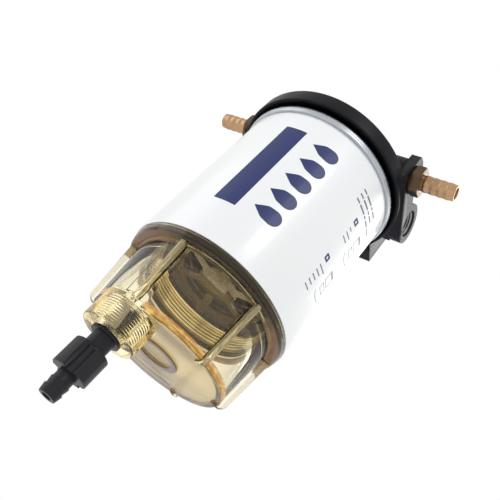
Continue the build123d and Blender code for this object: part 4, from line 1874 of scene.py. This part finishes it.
@dataclass
class Drain(Assembly):
    """The drain seat in the neck and the drain screw with its knob and nozzle."""

    body: ClassVar[str] = "drain"
    seat_flange_radius: float = 7.75
    seat_flange: float = 1.7
    seat_thread: float = 7.1
    seat_thread_depth: float = 0.5
    seat_thread_length: float = 4.5
    seat_relief: float = 0.4
    seat_thread_lead: float = 0.9
    seat_thread_step: float = 0.6
    seat_thread_corners: int = 5
    seat_tube: float = 5.3
    seat_tube_length: float = 9.0
    seat_boss_radius: float = 5.5
    seat_boss_length: float = 6.8
    seat_bore: float = 4.51
    seat_hole: float = 2.6
    seat_top_wall: float = 1.5
    seat_gap: float = 0.08
    ring_height: float = -56.68
    ring_half: float = 0.75
    ring_groove: float = 1.15
    ring_land: float = 0.8
    stem_radius: float = 4.45
    waist_radius: float = 3.6
    nose_radius: float = 2.0
    cross_radius: float = 1.2
    knob_gap: float = 0.25
    knob_length: float = 13.9
    knob_radius: float = 8.9
    knob_lobes: int = 3
    knob_sides: int = 6
    knob_turn: float = -4.0
    knob_ridge: float = 0.12
    knob_ridge_soft: float = 0.2
    knob_soft: float = 6.0
    knob_rim: float = 0.2
    knob_edge: float = 1.1
    scoop_radius: float = 2.1
    scoop_depth: float = 2.7
    scoop_lead: float = 4.3
    scoop_steps: int = 37
    barrel_radius: float = 3.0
    barrel_lead: float = -9.0
    barrel_soft: float = 30.0
    barrel_out: float = 0.6
    neck_radius: float = 4.35
    nozzle_neck: float = 4.3
    barb_radius: float = 4.8
    tip_radius: float = 4.15
    barb_pitch: float = 3.75
    barb_count: int = 2
    bore_radius: float = 2.3

    def build(self) -> None:
        """Make the seat and the screw, and dress the ring between them."""
        plastic = BlackPlastic()
        self.keep("drain_seat_bush", self.seat(), plastic, ["drain_seat"], body="bowl")
        self.keep("drain_screw", self.screw(), plastic, ["drain_valve"], smooth=30.0)
        self.copy_node("drain_oring", "drain_oring_dressed", Rubber(), body="drain_seal")

    def seat_ledge(self) -> float:
        """The height of the ledge inside the seat, over which its small hole starts."""
        tube_top = LAYOUT.neck_end + self.seat_thread_length + self.seat_tube_length
        return tube_top - self.seat_top_wall

    def seat(self) -> Blank:
        """Turn the flanged bushing.

        Returns:
            The seat.
        """
        end = LAYOUT.neck_end
        thread_top = end + self.seat_thread_length
        flange_low = end - self.seat_flange
        boss_low = flange_low - self.seat_boss_length
        ledge = self.seat_ledge()
        top = ledge + self.seat_top_wall
        root = self.seat_thread - self.seat_thread_depth
        corners: list[Corner] = [
            (self.seat_bore, boss_low, 0.0),
            (self.seat_boss_radius, boss_low, 0.35),
            (self.seat_boss_radius, flange_low, 0.3),
            (self.seat_flange_radius, flange_low, 0.4),
            (self.seat_flange_radius, end, 0.25),
            (root, end, 0.0),
            (root, end + self.seat_relief, 0.0),
        ]
        for index in range(self.seat_thread_corners):
            radius = root if index % 2 else self.seat_thread
            height = end + self.seat_thread_lead + self.seat_thread_step * index
            corners.append((radius, height, 0.1))
        corners += [
            (root, thread_top, 0.2),
            (self.seat_tube, thread_top, 0.2),
            (self.seat_tube, top, 0.3),
            (self.seat_hole, top, 0.2),
            (self.seat_hole, ledge, 0.0),
            (self.seat_bore, ledge - (self.seat_bore - self.seat_hole), 0.0),
        ]
        return Blank().turned(corners, steps=80).move(LAYOUT.drain())

    def grips(self, middle: float) -> list[Blank]:
        """Make the tools that cut the scooped grips between the knob's lobes.

        Args:
            middle: Height of the knob's middle.

        Returns:
            A straight scoop and a bellied barrel for each grip.
        """
        tools = []
        reach = self.knob_length / 2 + CLEAR
        scoop_place = self.knob_radius - self.scoop_depth + self.scoop_radius
        barrel = [
            (0.0, -self.knob_length, 0.0),
            (self.barrel_radius, 0.0, self.barrel_soft),
            (0.0, self.knob_length, 0.0),
        ]
        barrel_place = self.knob_radius + self.barrel_out
        for index in range(self.knob_lobes):
            valley = self.knob_turn - 360.0 / self.knob_lobes * (index + 0.5)
            scoop = Blank().rod(self.scoop_radius, -reach, reach, self.scoop_steps)
            bellied = Blank().turned(barrel, steps=48, segments=14)
            for tool, radius, lead in (
                (scoop, scoop_place, self.scoop_lead),
                (bellied, barrel_place, self.barrel_lead),
            ):
                turn = math.radians(valley + lead)
                place = (radius * math.cos(turn), radius * math.sin(turn), middle)
                tools.append(tool.move(Matrix.Translation(place)))
        return tools

    def knob(self, top: float) -> Blank:
        """Make three wide lobes, each with a faint ridge, parted by scooped grips.

        Args:
            top: Height of the knob's top.

        Returns:
            The knob, still without its bore.
        """
        points: list[Corner] = []
        count = self.knob_lobes * self.knob_sides
        for index in range(count):
            ridge = index % self.knob_sides == 0
            radius = self.knob_radius + (self.knob_ridge if ridge else 0.0)
            angle = math.radians(self.knob_turn + 360.0 / count * index)
            soft = self.knob_ridge_soft if ridge else self.knob_soft
            points.append((radius * math.cos(angle), -radius * math.sin(angle), soft))
        middle = top - self.knob_length / 2
        upright = Matrix.Translation((0, 0, middle)) @ Matrix.Rotation(math.pi / 2, 4, "X")
        lobes = Blank().plate(points, self.knob_length + 2 * CLEAR).move(upright)
        rim = self.knob_radius + self.knob_rim
        trim = Blank().turned([
            (0.0, top - self.knob_length, 0.0),
            (rim, top - self.knob_length, self.knob_edge),
            (rim, top, self.knob_edge),
            (0.0, top, 0.0),
        ], steps=91)
        grips = [(Join.CUT, tool) for tool in self.grips(middle)]
        return combine(lobes, [(Join.KEEP, trim)] + grips)

    def screw(self) -> Blank:
        """Make the nose, stem, knob and nozzle as one moulding.

        Returns:
            The screw.
        """
        tip = self.seat_ledge() + self.seat_hole - self.nose_radius - self.seat_gap
        cone_low = tip - (self.waist_radius - self.nose_radius)
        groove_low = self.ring_height - self.ring_half
        groove_top = self.ring_height + self.ring_half
        groove = self.stem_radius - self.ring_groove
        land_top = groove_top + self.ring_land
        knob_top = LAYOUT.neck_end - self.seat_flange - self.seat_boss_length - self.knob_gap
        knob_low = knob_top - self.knob_length
        inside_knob = knob_top - OVERLAP
        nozzle = knob_low - self.nozzle_neck
        end = nozzle - self.barb_count * self.barb_pitch
        cross_z = (cone_low + land_top) / 2
        corners: list[Corner] = [
            (0.0, tip, 0.0),
            (self.nose_radius, tip, 0.2),
            (self.waist_radius, cone_low, 0.2),
            (self.waist_radius, land_top, 0.1),
            (self.stem_radius, land_top, 0.1),
            (self.stem_radius, groove_top, 0.0),
            (groove, groove_top, 0.0),
            (groove, groove_low, 0.0),
            (self.stem_radius, groove_low, 0.0),
            (self.stem_radius, inside_knob, 0.0),
            (self.neck_radius, inside_knob, 0.0),
            (self.neck_radius, nozzle, 0.2),
        ]
        for index in range(self.barb_count):
            high = nozzle - index * self.barb_pitch
            corners.append((self.barb_radius, high, 0.12))
            corners.append((self.tip_radius, high - self.barb_pitch, 0.15))
        bore = self.bore_radius
        corners += [(bore, end, 0.2), (bore, cross_z, 0.0), (0.0, cross_z, 0.0)]
        stem = Blank().turned(corners, steps=80)
        core = Blank().rod(bore, knob_low - 2 * CLEAR, knob_top + 2 * CLEAR, 80)
        knob = combine(self.knob(knob_top), [(Join.CUT, core)])
        across = Matrix.Translation((0, 0, cross_z)) @ Matrix.Rotation(math.pi / 2, 4, "Y")
        cross = Blank().bar(32, self.cross_radius, 2 * self.stem_radius + 2 * CLEAR, across)
        whole = combine(stem, [(Join.ADD, knob), (Join.CUT, cross)])
        return whole.move(LAYOUT.drain())


# Studio


@dataclass(frozen=True)
class Softbox:
    """One rectangular lamp that looks at a point, in metres and watts."""

    name: str
    place: Point
    size: tuple[float, float]
    watts: float
    seen_through: bool = True
    target: Point = (0.0, -0.05, -0.08)

    def light(self) -> None:
        """Put the lamp into the scene."""
        lamp = bpy.data.lights.new(self.name, "AREA")
        lamp.shape = "RECTANGLE"
        lamp.size, lamp.size_y = self.size
        lamp.energy = self.watts
        held = bpy.data.objects.new(self.name, lamp)
        aim = Vector(self.target) - Vector(self.place)
        held.rotation_euler = aim.to_track_quat("-Z", "Y").to_euler()
        held.location = self.place
        held.visible_transmission = self.seen_through
        bpy.context.scene.collection.objects.link(held)


@dataclass(frozen=True)
class Studio:
    """Floor, sky, lamps and the camera at the photograph's angle.

    right, down and ahead are the camera's own directions in the frame.
    """

    floor_height: float = -0.42
    floor_size: float = 3.0
    sky: float = 0.78
    right: Point = (0.81235535, 0.10375652, 0.57385831)
    down: Point = (0.34797789, 0.70341018, -0.61977859)
    ahead: Point = (-0.46796385, 0.70317046, 0.53531405)
    eye: Point = (0.154815, -0.283056, -0.281817)
    lens: float = 45.2036
    sensor: float = 36.0
    nearest: float = 0.01
    lamps: tuple[Softbox, ...] = (
        Softbox("lamp_back_top", (0.35, 0.85, 0.92), (1.3, 0.9), 8.0),
        Softbox("lamp_front", (0.48, -0.76, 0.42), (0.26, 0.44), 2.4, seen_through=False),
        Softbox("lamp_left", (-0.95, -0.75, 0.1), (0.8, 1.2), 3.0),
    )

    def build(self) -> None:
        """Set the whole stage."""
        self.add_floor()
        self.add_sky()
        for lamp in self.lamps:
            lamp.light()
        self.add_camera()
        bpy.context.scene.view_settings.view_transform = "Standard"

    def add_floor(self) -> None:
        """Lay a wide pale floor under the object."""
        blank = Blank()
        bmesh.ops.create_grid(blank.bm, x_segments=1, y_segments=1, size=self.floor_size)
        blank.move(Matrix.Translation((0, 0, self.floor_height)))
        floor = blank.thing("studio_floor")
        floor.data.materials.append(StudioFloor().material())

    def add_sky(self) -> None:
        """Set soft light from all round, plain white where it is seen."""
        world = bpy.data.worlds.new("studio_sky")
        bpy.context.scene.world = world
        recipe = Recipe(world)
        strength = self.sky + (1.0 - self.sky) * recipe.seen()
        light = {"Color": grey(1.0), "Strength": strength}
        recipe.wire(recipe.node("ShaderNodeBackground", None, light), kind="World")

    def add_camera(self) -> None:
        """Set the camera of the photograph."""
        data = bpy.data.cameras.new("photo_camera")
        data.lens = self.lens
        data.sensor_width = self.sensor
        data.clip_start = self.nearest
        camera = bpy.data.objects.new("photo_camera", data)
        up = [-value for value in self.down]
        back = [-value for value in self.ahead]
        axes = Matrix((self.right, up, back)).transposed()
        camera.matrix_world = Matrix.Translation(self.eye) @ axes.to_4x4()
        bpy.context.scene.collection.objects.link(camera)
        bpy.context.scene.camera = camera


def main() -> None:
    """Build every sub-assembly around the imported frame."""
    logging.basicConfig(level=logging.INFO, format="%(name)s %(message)s")
    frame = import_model()
    datum = Datum.read()
    for kind in (Head, HoseBarbs, Can, CanPrint, Bowl, Drain):
        kind(datum, frame).build()
    Studio().build()
    bpy.context.view_layer.update()


if __name__ == "__main__":
    main()
